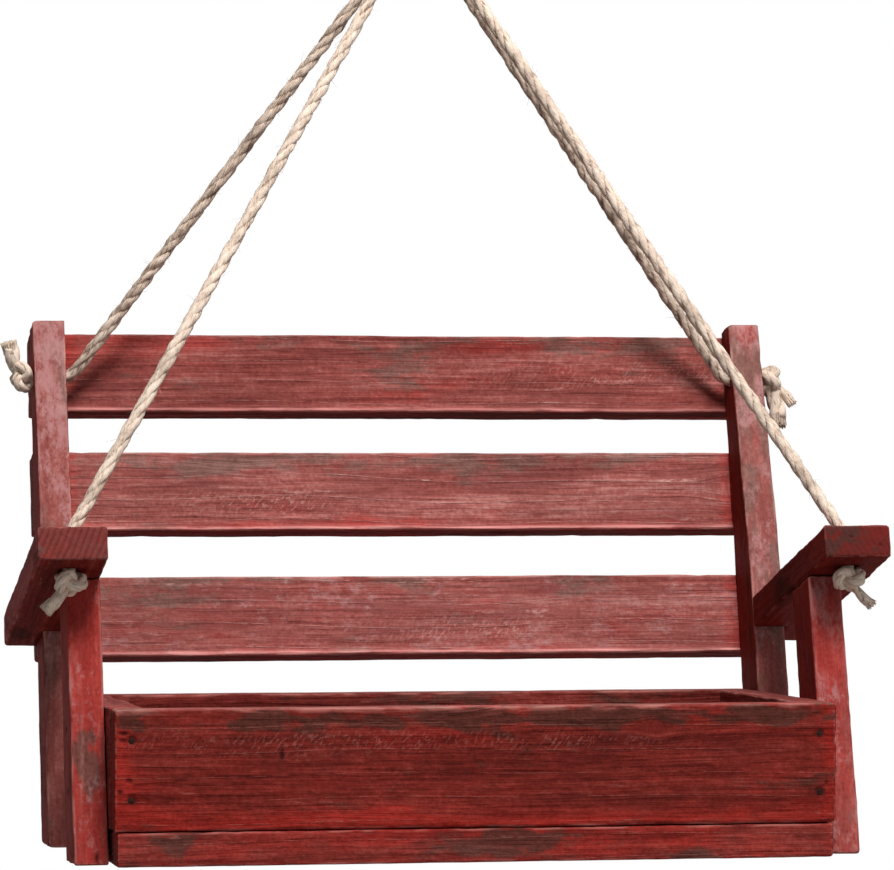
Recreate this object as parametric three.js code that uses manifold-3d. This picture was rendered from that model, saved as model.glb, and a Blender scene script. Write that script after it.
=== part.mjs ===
// A small hanging porch swing with a planter box for its seat.
//
// Millimetres, +Z up. The origin is where the ceiling hook meets its ceiling, and
// the swing hangs under it, facing -Y.
//
// The woodwork is drawn upright in the swing's own frame, with z = 0 under its feet
// and y = 0 on the front panel's face. It hangs nose down by hangTilt, which brings
// its centre of mass under the hook.
import * as THREE from 'three';
import { mergeVertices } from 'three/addons/utils/BufferGeometryUtils.js';
import Module from 'manifold-3d';

// ---- driving dimensions -------------------------------------------------------

const jointGap = 0.3;            // clearance between pieces that seat on each other
const stock = 19;                // thickness of the lumber

// planter box
const boxLength = 400;
const boxDepth = 207;
const boxHeight = 85;
const floorThickness = 18.7;
const floorInset = 1.5;          // how much shorter the floor is at each end

// legs and armrests: a square frame at each side, leaning back
const frameTilt = 15;            // degrees
const legDepth = 38;
const legFootSetback = 18.9;     // front face of a leg at the floor, behind the panel
const legHeight = 154.4;         // of the leg's front face
const armWidth = 38;
const armThickness = 18.7;
const armOverhang = 40;          // in front of the leg

// back
const backRake = 13.1;           // degrees
const backFootSetback = 14.3;    // rear face of a post at the floor, in front of the box's rear
const postLength = 306.6;
const postDepth = 38;
const postTopDepth = 18;
const postTaperStart = 145;      // along the post, just above the armrest
const slatHeight = 47.5;
const slatDrops = [3, 75, 150];  // from the posts' tops down to each slat's top edge

// nails
const nailHeadRadius = 2.1;
const nailHeadThickness = 0.8;
const nailShankRadius = 0.9;
const nailPointLength = 2.5;
const nailClearance = 0.3;
const nailLength = 36;
const slatNailLength = 32;
const panelNailSpacing = 32;
const legNailSpacing = 34;
const postNailSpacing = 24;
const postNailSetback = 27;      // in front of the post's rear face
const armNailSpacing = 19;
const floorNailSetback = 60;     // from the box's ends

// rope, its holes and its knots
const ropeDiameter = 7.2;
const ropeSides = 10;
const ropeHoleDiameter = 9.4;
const armHoleSetback = 25;       // behind the armrest's front end
const postHoleHeight = 273;      // along the post
const armKnotRadii = [10, 9, 6.5];
const postKnotRadii = [6.5, 8.5, 9.5];
const tailDiameter = 8;
const armTail = 22;              // from the middle of a knot to the end of its tail
const postTail = 27;

// hook, ring and the loops that hang on it
const hookWire = 5;
const bowlRadius = 13;           // the wire's centreline round the hook's bowl
const bowlSweep = 250;           // degrees, from the bowl's top to the hook's tip
const shoulderRadius = 5;        // centreline of the bend above the bowl
const stemLength = 8;            // from the ceiling to that bend
const collarRadius = 6.5;
const collarThickness = 1.6;
const screwLength = 24;
const screwPointLength = 7;
const ringWire = 5;
const ringRadius = 16;           // centreline
const loopRadius = 7;            // centreline of a rope loop over the ring
const bindingTop = 18;           // below the ring's lower wire
const bindingHeight = 24;
const bindingRadius = 12;

// how the swing hangs
const hangTilt = 5.3;            // nose down, so that it balances under the hook
const ropesMeetY = 186;          // where the ropes' lines meet, in the swing's frame
const ropesMeetZ = 537;
const ropesMeetDrop = 44;        // the same point, below the ring's lower wire

// The right-hand ropes in the part's frame, from each hole to the binding under the
// ring. The left-hand ropes mirror them.
const frontRopeRoute = [
  [219.3, -104.6, -498.7], [219.3, -103.5, -492.3], [219.3, -102.4, -485.8], [219.1, -101.9, -483.3],
  [218.6, -101.4, -480.7], [217.8, -100.8, -478.3], [216.6, -100.3, -476], [212.4, -98.4, -468.9],
  [187.2, -86.9, -426], [161.9, -75.4, -383.1], [136.6, -64, -340.1], [111.3, -52.5, -297.2],
  [86.1, -41.1, -254.3], [60.8, -29.6, -211.4], [35.5, -18.1, -168.5], [10.2, -6.7, -125.6],
  [6, -4.8, -118.4], [4.8, -4.2, -115.8], [4, -3.9, -112.9], [3.8, -3.8, -110], [3.8, -3.8, -107.4],
];
const backRopeRoute = [
  [219.3, 82.2, -371.9], [212.1, 82.3, -371.6], [204.8, 82.3, -371.3], [202.1, 82.3, -371],
  [199.5, 82, -370.2], [197.1, 81.7, -369], [195, 81.2, -367.4], [193.2, 80.6, -365.4],
  [189.4, 79.1, -360.5], [167.1, 70, -331], [144.8, 61, -301.5], [122.4, 51.9, -272.1],
  [100.1, 42.8, -242.6], [77.7, 33.8, -213.1], [55.4, 24.7, -183.7], [33.1, 15.6, -154.2],
  [10.7, 6.6, -124.7], [7, 5.1, -119.8], [5.2, 4.3, -116.8], [4.1, 3.9, -113.5], [3.8, 3.8, -110],
  [3.8, 3.8, -107.4],
];

// ---- worked out from them -----------------------------------------------------

const rad = THREE.MathUtils.degToRad;
const sides = [['left', -1], ['right', 1]];
const legInnerX = boxLength / 2 + jointGap;
const legOuterX = legInnerX + stock;
const legCentreX = (legInnerX + legOuterX) / 2;
const armCentreX = legInnerX + armWidth / 2;
const wallBottom = floorThickness + jointGap;
const wallHeight = boxHeight - wallBottom;
const bowlCentreZ = -stemLength - Math.sqrt((bowlRadius + shoulderRadius) ** 2 - shoulderRadius ** 2);
const saddleZ = bowlCentreZ - bowlRadius;
const ringCentreZ = saddleZ + (hookWire + ringWire) / 2 + jointGap - ringRadius;
const ringBottomZ = ringCentreZ - ringRadius;

// ---- materials ----------------------------------------------------------------

const paintedWood = () => new THREE.MeshStandardMaterial({ color: 0x6b2624, roughness: 0.75 });
const rope = () => new THREE.MeshStandardMaterial({ color: 0xcbb08a, roughness: 0.95 });
const steel = () => new THREE.MeshStandardMaterial({ color: 0x9a9c9e, roughness: 0.4, metalness: 0.9 });
const nailSteel = () => new THREE.MeshStandardMaterial({ color: 0x3a2c28, roughness: 0.7, metalness: 0.6 });

// ---- shaping ------------------------------------------------------------------

const wasm = await Module();
wasm.setup();

function solid(geometry) {
  const bare = geometry.clone();
  for (const name of Object.keys(bare.attributes)) {
    if (name !== 'position') bare.deleteAttribute(name);
  }
  const merged = mergeVertices(bare, 1e-4);
  return new wasm.Manifold(new wasm.Mesh({
    numProp: 3,
    vertProperties: new Float32Array(merged.attributes.position.array),
    triVerts: new Uint32Array(merged.index.array),
  }));
}

function geometryOf(manifold) {
  const mesh = manifold.getMesh();
  const geometry = new THREE.BufferGeometry();
  geometry.setAttribute('position', new THREE.BufferAttribute(new Float32Array(mesh.vertProperties), 3));
  geometry.setIndex(new THREE.BufferAttribute(new Uint32Array(mesh.triVerts), 1));
  geometry.computeVertexNormals();
  return geometry;
}

function cut(geometry, tools) {
  return geometryOf(tools.reduce((whole, tool) => whole.subtract(solid(tool)), solid(geometry)));
}

function join(...geometries) {
  return geometryOf(geometries.map(solid).reduce((whole, piece) => whole.add(piece)));
}

// A side outline, given as [y, z] points, made into a plank of the given width along X.
function plank(outline, width) {
  const shape = new THREE.Shape(outline.map(([y, z]) => new THREE.Vector2(y, z)));
  const geometry = new THREE.ExtrudeGeometry(shape, { depth: width, bevelEnabled: false });
  geometry.translate(0, 0, -width / 2);
  const toSide = new THREE.Matrix4().makeBasis(
    new THREE.Vector3(0, 1, 0), new THREE.Vector3(0, 0, 1), new THREE.Vector3(1, 0, 0));
  return geometry.applyMatrix4(toSide);
}

// A round solid about Z from its [radius, z] profile, which starts and ends on the axis.
function turned(profile, sides) {
  const points = profile.map(([r, z]) => new THREE.Vector2(r, z));
  return new THREE.LatheGeometry(points, sides).rotateX(Math.PI / 2);
}

function rod(radius, length, sides = 16) {
  return new THREE.CylinderGeometry(radius, radius, length, sides).rotateX(Math.PI / 2);
}

// A round wire or rope of the given diameter along a curve.
function tube(curve, diameter, steps, sides) {
  const section = new THREE.Shape();
  for (let i = 0; i < sides; i++) {
    const angle = (2 * Math.PI * i) / sides;
    const x = (diameter / 2) * Math.cos(angle);
    const y = (diameter / 2) * Math.sin(angle);
    if (i === 0) section.moveTo(x, y);
    else section.lineTo(x, y);
  }
  return new THREE.ExtrudeGeometry(section, { steps, extrudePath: curve, bevelEnabled: false });
}

function smoothCurve(points) {
  return new THREE.CatmullRomCurve3(points.map((p) => new THREE.Vector3(...p)), false, 'centripetal');
}

// A rope's route. A tube along it has its rings at the route's own points, so that
// they are close together in the bends and far apart between them.
class Route extends THREE.CatmullRomCurve3 {
  getUtoTmapping(u) {
    return u;
  }
}

function ball([rx, ry, rz]) {
  return new THREE.SphereGeometry(1, 16, 10).rotateX(Math.PI / 2).scale(rx, ry, rz);
}

// ---- placing ------------------------------------------------------------------

const part = new THREE.Group();

function group(parent, position = [0, 0, 0], leanBack = 0) {
  const child = new THREE.Group();
  child.position.set(...position);
  child.rotation.x = -rad(leanBack);
  parent.add(child);
  return child;
}

function add(parent, name, geometry, material, position = [0, 0, 0]) {
  const mesh = new THREE.Mesh(geometry, material);
  mesh.name = name;
  mesh.position.set(...position);
  parent.add(mesh);
  return mesh;
}

// The swing's own frame, hung with its ropes' meeting point under the ring.
const swing = group(part, [0, 0, 0], -hangTilt);
const meetingPoint = new THREE.Vector3(0, ropesMeetY, ropesMeetZ).applyEuler(swing.rotation);
swing.position.set(0, 0, ringBottomZ - ropesMeetDrop).sub(meetingPoint);
const legTopY = legFootSetback + legHeight * Math.tan(rad(frameTilt));
const sideFrames = group(swing, [0, legTopY, legHeight], frameTilt);
const back = group(swing, [0, boxDepth - backFootSetback, 0], backRake);
part.updateMatrixWorld(true);

// ---- planter box --------------------------------------------------------------

function makeBox() {
  const midWall = wallBottom + wallHeight / 2;
  const floorLength = boxLength - 2 * floorInset;
  const sideDepth = boxDepth - 2 * (stock + jointGap);
  const pieces = {
    floor_board: [[floorLength, boxDepth, floorThickness], [0, boxDepth / 2, floorThickness / 2]],
    front_panel: [[boxLength, stock, wallHeight], [0, stock / 2, midWall]],
    rear_panel: [[boxLength, stock, wallHeight], [0, boxDepth - stock / 2, midWall]],
    side_panel_left: [[stock, sideDepth, wallHeight], [-(boxLength - stock) / 2, boxDepth / 2, midWall]],
    side_panel_right: [[stock, sideDepth, wallHeight], [(boxLength - stock) / 2, boxDepth / 2, midWall]],
  };
  for (const [name, [size, position]] of Object.entries(pieces)) {
    add(swing, name, new THREE.BoxGeometry(...size), paintedWood(), position);
  }
}

// ---- legs and armrests --------------------------------------------------------

// A line through two [y, z] points of one group's frame, as seen in another's.
function lineIn(target, source, points) {
  return points.map(([y, z]) => {
    const local = target.worldToLocal(source.localToWorld(new THREE.Vector3(0, y, z)));
    return [local.y, local.z];
  });
}

// A horizontal line of the swing at the given height, and the two faces of a post.
const levelIn = (target, height) => lineIn(target, swing, [[0, height], [boxDepth, height]]);
const postLineIn = (target, faceY) => lineIn(target, back, [[faceY, 0], [faceY, postTaperStart]]);

// Where a line passes a given y, or a given z.
const zOn = ([a, b], y) => a[1] + ((b[1] - a[1]) * (y - a[0])) / (b[0] - a[0]);
const yOn = ([a, b], z) => a[0] + ((b[0] - a[0]) * (z - a[1])) / (b[1] - a[1]);

const armBottom = jointGap;
const armTop = armBottom + armThickness;
const armHoleY = armHoleSetback - armOverhang;

function makeSideFrames() {
  const ground = levelIn(sideFrames, 0);
  const notchFront = postLineIn(sideFrames, -postDepth - jointGap);
  const armRear = yOn(postLineIn(sideFrames, 0), armTop);
  const armLength = armRear + armOverhang;
  const past = armThickness;

  for (const [name, s] of sides) {
    const leg = plank([
      [0, zOn(ground, 0)], [legDepth, zOn(ground, legDepth)], [legDepth, 0], [0, 0],
    ], stock);
    add(sideFrames, `front_leg_${name}`, leg, paintedWood(), [s * legCentreX, 0, 0]);

    const board = new THREE.BoxGeometry(armWidth, armLength, armThickness)
      .translate(0, (armRear - armOverhang) / 2, (armBottom + armTop) / 2);
    const notch = plank([
      [yOn(notchFront, armBottom - past), armBottom - past],
      [armRear + past, armBottom - past],
      [armRear + past, armTop + past],
      [yOn(notchFront, armTop + past), armTop + past],
    ], 2 * (stock + jointGap)).translate(s * (legInnerX - armCentreX), 0, 0);
    const ropeHole = rod(ropeHoleDiameter / 2, 3 * armThickness).translate(0, armHoleY, armTop);
    add(sideFrames, `armrest_${name}`, cut(board, [notch, ropeHole]), paintedWood(), [s * armCentreX, 0, 0]);
  }
}

// ---- back ---------------------------------------------------------------------

const postDepthAt = (z) => postDepth
  - ((postDepth - postTopDepth) * Math.max(0, z - postTaperStart)) / (postLength - postTaperStart);
const postHoleY = -postDepthAt(postHoleHeight) / 2;

function makeBack() {
  const ground = levelIn(back, 0);
  const post = plank([
    [0, zOn(ground, 0)],
    [0, postLength],
    [-postTopDepth, postLength],
    [-postDepth, postTaperStart],
    [-postDepth, zOn(ground, -postDepth)],
  ].reverse(), stock);
  const hole = rod(ropeHoleDiameter / 2, 3 * stock).rotateY(Math.PI / 2)
    .translate(0, postHoleY, postHoleHeight);
  const drilled = cut(post, [hole]);
  for (const [name, s] of sides) {
    add(back, `back_post_${name}`, drilled.clone(), paintedWood(), [s * legCentreX, 0, 0]);
  }

  ['top', 'middle', 'bottom'].forEach((name, i) => {
    const board = new THREE.BoxGeometry(2 * legOuterX, stock, slatHeight);
    const z = postLength - slatDrops[i] - slatHeight / 2;
    add(back, `back_slat_${name}`, board, paintedWood(), [0, jointGap + stock / 2, z]);
  });
}

// ---- nails --------------------------------------------------------------------

// A nail lying along +Z with the top of its head at z = 0, grown by the clearance
// where it is the tool that cuts its hole.
function nail(length, grow = 0) {
  const head = nailHeadRadius + grow;
  const shank = nailShankRadius + grow;
  const underHead = nailHeadThickness + grow;
  return turned([
    [0, -grow], [head, -grow], [head, underHead], [shank, underHead],
    [shank, length - nailPointLength + grow], [0, length + grow],
  ], 8);
}

// Drives nails, each given as [position, direction] in the parent group's frame, and
// cuts their holes in the boards that they pass through.
function driveNails(parent, name, nails, length, boards) {
  const along = new THREE.Vector3(0, 0, 1);
  const driven = nails.map(([position, direction], i) => {
    const mesh = add(parent, `${name}_${i + 1}`, nail(length), nailSteel(), position);
    mesh.quaternion.setFromUnitVectors(along, new THREE.Vector3(...direction));
    return mesh;
  });
  part.updateMatrixWorld(true);
  for (const boardName of boards) {
    const board = part.getObjectByName(boardName);
    const toBoard = board.matrixWorld.clone().invert();
    const holes = driven.map((mesh) => nail(length, nailClearance)
      .applyMatrix4(mesh.matrixWorld).applyMatrix4(toBoard));
    board.geometry = cut(board.geometry, holes);
  }
}

function makeNails() {
  const wallMiddle = wallBottom + wallHeight / 2;
  const pair = (middle, spacing) => [middle - spacing / 2, middle + spacing / 2];

  const cornerX = (boxLength - stock) / 2;
  const panelNails = sides.flatMap(([, s]) => pair(wallMiddle, panelNailSpacing).flatMap((z) => [
    [[s * cornerX, 0, z], [0, 1, 0]],
    [[s * cornerX, boxDepth, z], [0, -1, 0]],
  ]));
  driveNails(swing, 'panel_nail', panelNails, nailLength,
    ['front_panel', 'rear_panel', 'side_panel_left', 'side_panel_right']);

  const floorNails = sides.flatMap(([, s]) => [stock / 2, boxDepth - stock / 2]
    .map((y) => [[s * (boxLength / 2 - floorNailSetback), y, 0], [0, 0, 1]]));
  driveNails(swing, 'floor_nail', floorNails, nailLength, ['floor_board', 'front_panel', 'rear_panel']);

  const legNails = sides.flatMap(([, s]) => pair(wallMiddle, legNailSpacing)
    .map((height) => zOn(levelIn(sideFrames, height), legDepth / 2))
    .map((z) => [[s * legOuterX, legDepth / 2, z], [-s, 0, 0]]));
  driveNails(sideFrames, 'leg_nail', legNails, nailLength,
    ['front_leg_left', 'front_leg_right', 'side_panel_left', 'side_panel_right']);

  const postNails = sides.flatMap(([, s]) => pair(wallMiddle - postNailSpacing / 2, postNailSpacing)
    .map((height) => zOn(levelIn(back, height), -postNailSetback))
    .map((z) => [[s * legOuterX, -postNailSetback, z], [-s, 0, 0]]));
  driveNails(back, 'post_nail', postNails, nailLength,
    ['back_post_left', 'back_post_right', 'side_panel_left', 'side_panel_right']);

  const armMiddle = (armBottom + armTop) / 2;
  const postMiddle = yOn(postLineIn(sideFrames, -postDepth / 2), armMiddle);
  const armNails = sides.flatMap(([, s]) => [
    ...pair(legDepth / 2, armNailSpacing).map((y) => [[s * legCentreX, y, armTop], [0, 0, -1]]),
    [[s * (legInnerX + armWidth), postMiddle, armMiddle], [-s, 0, 0]],
  ]);
  driveNails(sideFrames, 'armrest_nail', armNails, nailLength,
    sides.flatMap(([name]) => [`armrest_${name}`, `front_leg_${name}`, `back_post_${name}`]));

  const slatMiddles = slatDrops.map((drop) => postLength - drop - slatHeight / 2);
  const slatNails = sides.flatMap(([, s]) => slatMiddles
    .map((z) => [[s * legCentreX, jointGap + stock, z], [0, -1, 0]]));
  driveNails(back, 'slat_nail', slatNails, slatNailLength,
    ['back_slat_top', 'back_slat_middle', 'back_slat_bottom', 'back_post_left', 'back_post_right']);
}

// ---- hook and ring ------------------------------------------------------------

function makeHook() {
  const startAngle = Math.asin(shoulderRadius / (bowlRadius + shoulderRadius));
  const endAngle = rad(bowlSweep);
  const step = rad(12);
  const path = [[0, 0, -collarThickness / 2]];
  for (let a = 0; a < Math.PI / 2 - startAngle; a += step) {
    path.push([0, shoulderRadius * (1 - Math.cos(a)), -stemLength - shoulderRadius * Math.sin(a)]);
  }
  for (let a = startAngle; a < endAngle + step / 2; a += step) {
    path.push([0, bowlRadius * Math.sin(a), bowlCentreZ + bowlRadius * Math.cos(a)]);
  }
  const wire = tube(smoothCurve(path), hookWire, 2 * path.length, 12);
  const collar = turned([
    [0, -collarThickness], [collarRadius, -collarThickness], [collarRadius, 0], [0, 0],
  ], 24);
  const screwRadius = hookWire / 2;
  const screw = turned([
    [0, -collarThickness / 2], [screwRadius, -collarThickness / 2],
    [screwRadius, screwLength - screwPointLength], [0, screwLength],
  ], 24);
  add(part, 'ceiling_hook', join(wire, collar, screw), steel());
}

function makeRing() {
  const ring = new THREE.TorusGeometry(ringRadius, ringWire / 2, 12, 36).rotateX(Math.PI / 2);
  add(part, 'hanging_ring', ring, steel(), [0, 0, ringCentreZ]);
}

// ---- ropes --------------------------------------------------------------------

const ropeSpacing = ropeDiameter + jointGap;

// Each rope goes over the ring once, side by side, and all four strands are bound
// together below it.
function makeLoops() {
  const low = -bindingTop + jointGap;
  const arc = [];
  for (let i = 0; i <= 12; i++) {
    const angle = (Math.PI * i) / 12;
    arc.push([0, -loopRadius * Math.cos(angle), loopRadius * Math.sin(angle)]);
  }
  const path = [
    [0, -ropeSpacing / 2, low], [0, -ropeSpacing / 2, low + 2], ...arc,
    [0, ropeSpacing / 2, low + 2], [0, ropeSpacing / 2, low],
  ];
  for (const [name, s] of sides) {
    const loop = tube(smoothCurve(path), ropeDiameter, 24, ropeSides);
    add(part, `rope_loop_${name}`, loop, rope(), [(s * ropeSpacing) / 2, 0, ringBottomZ]);
  }
  const bindingBevel = 2;
  const binding = turned([
    [0, -bindingHeight], [bindingRadius - bindingBevel, -bindingHeight],
    [bindingRadius, -bindingHeight + bindingBevel], [bindingRadius, -bindingBevel],
    [bindingRadius - bindingBevel, 0], [0, 0],
  ], 20);
  add(part, 'rope_binding', binding, rope(), [0, 0, ringBottomZ - bindingTop]);
}

function makeRopes() {
  for (const [row, route] of [['front', frontRopeRoute], ['back', backRopeRoute]]) {
    for (const [name, s] of sides) {
      const curve = new Route(route.map(([x, y, z]) => new THREE.Vector3(s * x, y, z)));
      add(part, `rope_${row}_${name}`, tube(curve, ropeDiameter, route.length - 1, ropeSides), rope());
    }
  }
}

// A stopper knot, with the rope's cut end pointing the given way.
function knot(radii, tailLength, tailDirection) {
  const end = new THREE.Vector3(...tailDirection).setLength(tailLength);
  const tail = tube(new THREE.LineCurve3(new THREE.Vector3(), end), tailDiameter, 1, ropeSides);
  return join(ball(radii), tail);
}

function makeKnots() {
  for (const [name, s] of sides) {
    const armKnot = knot(armKnotRadii, armTail, [0.62 * s, 0.1, -0.78]);
    add(sideFrames, `knot_front_${name}`, armKnot, rope(), [s * armCentreX, armHoleY, -armKnotRadii[2]]);
  }
  const postKnotX = legOuterX + jointGap + postKnotRadii[0];
  const leftKnot = knot(postKnotRadii, postTail, [-0.35, -0.1, 0.85]);
  const rightKnot = knot(postKnotRadii, postTail, [0.3, -0.1, -0.9]);
  add(back, 'knot_back_left', leftKnot, rope(), [-postKnotX, postHoleY, postHoleHeight]);
  add(back, 'knot_back_right', rightKnot, rope(), [postKnotX, postHoleY, postHoleHeight]);
}

makeBox();
makeSideFrames();
makeBack();
makeNails();
makeHook();
makeRing();
makeLoops();
makeRopes();
makeKnots();
part.updateMatrixWorld(true);

export default part;
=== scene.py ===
import math
from dataclasses import dataclass

import bmesh
import bpy
import numpy as np
from mathutils import Matrix, Vector


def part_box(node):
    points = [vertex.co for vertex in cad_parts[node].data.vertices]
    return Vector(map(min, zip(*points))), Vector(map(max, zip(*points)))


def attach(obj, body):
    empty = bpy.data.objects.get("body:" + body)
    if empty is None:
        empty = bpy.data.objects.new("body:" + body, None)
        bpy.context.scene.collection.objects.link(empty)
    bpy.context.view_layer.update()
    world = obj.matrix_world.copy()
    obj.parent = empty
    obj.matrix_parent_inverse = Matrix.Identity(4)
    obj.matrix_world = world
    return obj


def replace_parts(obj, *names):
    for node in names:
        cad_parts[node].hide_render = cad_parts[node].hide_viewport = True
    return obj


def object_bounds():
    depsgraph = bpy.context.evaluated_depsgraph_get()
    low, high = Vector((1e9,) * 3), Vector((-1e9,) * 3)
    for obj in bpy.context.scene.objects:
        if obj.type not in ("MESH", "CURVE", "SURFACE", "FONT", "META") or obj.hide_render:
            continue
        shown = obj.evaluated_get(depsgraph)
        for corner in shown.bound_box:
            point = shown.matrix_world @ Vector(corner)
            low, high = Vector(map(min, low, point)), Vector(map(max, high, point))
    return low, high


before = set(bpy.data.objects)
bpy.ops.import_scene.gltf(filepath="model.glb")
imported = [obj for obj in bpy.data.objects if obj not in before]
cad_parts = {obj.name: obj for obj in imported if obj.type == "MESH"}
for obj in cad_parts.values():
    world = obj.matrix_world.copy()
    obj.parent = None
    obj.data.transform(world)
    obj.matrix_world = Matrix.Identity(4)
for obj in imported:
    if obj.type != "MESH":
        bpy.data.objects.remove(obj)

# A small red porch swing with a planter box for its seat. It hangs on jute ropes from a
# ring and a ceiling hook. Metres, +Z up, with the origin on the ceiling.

cad_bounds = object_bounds()

MM = 0.001
FULL_TURN = 2 * math.pi
SIDES = (("left", -1), ("right", 1))
WHITE = (1, 1, 1)

# How the woodwork's three sets of boards lean, in degrees about X.
HANG_TILT = 5.3
SIDE_FRAME_LEAN = HANG_TILT - 15.0
BACK_LEAN = HANG_TILT - 13.1

BOARD_THICKNESS = 19 * MM
ARM_HOLE_SETBACK = 25 * MM       # behind the armrest's front end
POST_HOLE_DROP = 33.6 * MM       # below the post's top
ON_FACE = 0.2 * MM               # how near a face the CAD vertices on it lie
ALONG_X, ALONG_Y, ALONG_Z = 0, 1, 2

ROPE_DIAMETER = 7.2 * MM
ROPE_SPACING = ROPE_DIAMETER + 0.3 * MM    # between ropes that lie side by side
ROPE_HOLE_DIAMETER = 9.4 * MM
ROPE_LAY = 38 * MM               # length of rope in one turn of its strands
ROPE_STEP = 1.5 * MM             # between the points of a rope's path
HAIRS_PER_STEP = 1.5

# The flare of a rope hole's mouth, in mm: how far outside the board, and how much wider.
HOLE_MOUTH = ((4.0, 3.6), (0.4, 1.5), (0.0, 1.0), (-0.5, 0.45), (-1.2, 0.12), (-2.2, 0.0))

WIRE_RADIUS = 2.5 * MM           # of the hook and the ring
WIRE_SIDES = 24
RING_RADIUS = 16 * MM
RING_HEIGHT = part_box("hanging_ring")[0][2] + RING_RADIUS + WIRE_RADIUS    # of its centre
LOOP_RADIUS = 7 * MM

# The right-hand ropes, from each hole to the binding. The left-hand ropes mirror them.
FRONT_ROPE = [
    (0.2193, -0.1046, -0.4987), (0.2193, -0.1035, -0.4923), (0.2193, -0.1024, -0.4858),
    (0.2191, -0.1019, -0.4833), (0.2186, -0.1014, -0.4807), (0.2178, -0.1008, -0.4783),
    (0.2166, -0.1003, -0.476), (0.2124, -0.0984, -0.4689), (0.1872, -0.0869, -0.426),
    (0.1619, -0.0754, -0.3831), (0.1366, -0.064, -0.3401), (0.1113, -0.0525, -0.2972),
    (0.0861, -0.0411, -0.2543), (0.0608, -0.0296, -0.2114), (0.0355, -0.0181, -0.1685),
    (0.0102, -0.0067, -0.1256), (0.006, -0.0048, -0.1184), (0.0048, -0.0042, -0.1158),
    (0.004, -0.0039, -0.1129), (0.0038, -0.0038, -0.11), (0.0038, -0.0038, -0.1074),
]
BACK_ROPE = [
    (0.2193, 0.0822, -0.3719), (0.2121, 0.0823, -0.3716), (0.2048, 0.0823, -0.3713),
    (0.2021, 0.0823, -0.371), (0.1995, 0.082, -0.3702), (0.1971, 0.0817, -0.369),
    (0.195, 0.0812, -0.3674), (0.1932, 0.0806, -0.3654), (0.1894, 0.0791, -0.3605),
    (0.1671, 0.07, -0.331), (0.1448, 0.061, -0.3015), (0.1224, 0.0519, -0.2721),
    (0.1001, 0.0428, -0.2426), (0.0777, 0.0338, -0.2131), (0.0554, 0.0247, -0.1837),
    (0.0331, 0.0156, -0.1542), (0.0107, 0.0066, -0.1247), (0.007, 0.0051, -0.1198),
    (0.0052, 0.0043, -0.1168), (0.0041, 0.0039, -0.1135), (0.0038, 0.0038, -0.11),
    (0.0038, 0.0038, -0.1074),
]

# The camera in the woodwork's own frame, with its angles in radians.
CAMERA_PLACE = (-0.4961, -2.5190, 0.1958)
CAMERA_YAW = 0.187441
CAMERA_PITCH = 0.0141965
CAMERA_ROLL = -0.00123699
SENSOR_WIDTH = 36                # mm
FOCAL_LENGTH = 190.16376         # mm

# The room's own light, and each lamp's place, diameter in metres and power in watts.
WORLD_LIGHT = 0.14
LAMPS = (
    ("key", (0.15, -1.75, 1.75), 0.9, 96),
    ("fill", (2.0, -2.0, 0.0), 1.6, 12),
    ("left", (-2.4, 0.6, 0.3), 1.2, 2.5),
    ("rim", (0.6, 2.2, 1.0), 1.4, 30),
)
LAMPS_AIM = Vector((0, -0.02, -0.45))
FLOOR_DROP = 0.42                # below the swing
FLOOR_HALF = 6.0


# ---- geometry helpers ---------------------------------------------------------

def leaning(degrees):
    """The rotation from a leaning group's frame to the world, as a 3 by 3 array."""
    return np.array(Matrix.Rotation(math.radians(degrees), 3, "X"))


def vertices_of(mesh):
    points = np.empty(len(mesh.vertices) * 3)
    mesh.vertices.foreach_get("co", points)
    return points.reshape(-1, 3)


def node_points(name):
    """The vertices of a CAD node, in the world."""
    return vertices_of(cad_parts[name].data)


def unit(vector):
    return vector / np.linalg.norm(vector)


def ripple(points, wavelength, seed):
    """A smooth field between about -1 and 1 over the points."""
    rng = np.random.default_rng(seed)
    total = np.zeros(len(points))
    for _ in range(9):
        direction = rng.normal(size=3)
        direction *= rng.uniform(0.6, 1.6) * FULL_TURN / (wavelength * np.linalg.norm(direction))
        total += np.sin(points @ direction + rng.uniform(0, FULL_TURN))
    return np.clip(total / 3.6, -1, 1)


def smoothstep(values, low, high):
    t = np.clip((values - low) / (high - low), 0, 1)
    return t * t * (3 - 2 * t)


def shell(rings, sides):
    """The faces of a closed body made of rings of vertices: its walls, then its two ends."""
    faces = []
    for i in range(rings - 1):
        for k in range(sides):
            n = (k + 1) % sides
            faces.append((i * sides + k, i * sides + n, (i + 1) * sides + n, (i + 1) * sides + k))
    last = (rings - 1) * sides
    return faces + [tuple(range(sides))[::-1], tuple(range(last, last + sides))]


def revolve(profile, sides, place, axis):
    """A solid turned about an axis through place. The profile is radius and height."""
    turn = np.array(Vector(axis).to_track_quat("Z", "Y").to_matrix())
    angles = np.linspace(0, FULL_TURN, sides, endpoint=False)
    rings = np.array([[(r * math.cos(a), r * math.sin(a), h) for a in angles] for r, h in profile])
    return rings.reshape(-1, 3) @ turn.T + np.asarray(place), shell(len(profile), sides)


def joined(parts):
    """Several bodies' vertices and faces as one."""
    vertices, faces = [], []
    for points, polygons in parts:
        faces += [tuple(len(vertices) + k for k in polygon) for polygon in polygons]
        vertices += list(points)
    return vertices, faces


def new_mesh(name, vertices, faces):
    mesh = bpy.data.meshes.new(name)
    mesh.from_pydata([tuple(v) for v in vertices], [], faces)
    mesh.validate()
    mesh.update()
    return mesh


def new_object(name, data):
    obj = bpy.data.objects.new(name, data)
    bpy.context.scene.collection.objects.link(obj)
    return obj


def make_piece(name, vertices, faces, material, body):
    mesh = new_mesh(name, vertices, faces)
    mesh.polygons.foreach_set("use_smooth", [True] * len(mesh.polygons))
    mesh.materials.append(material)
    obj = new_object(name, mesh)
    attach(obj, body)
    return obj


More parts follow.
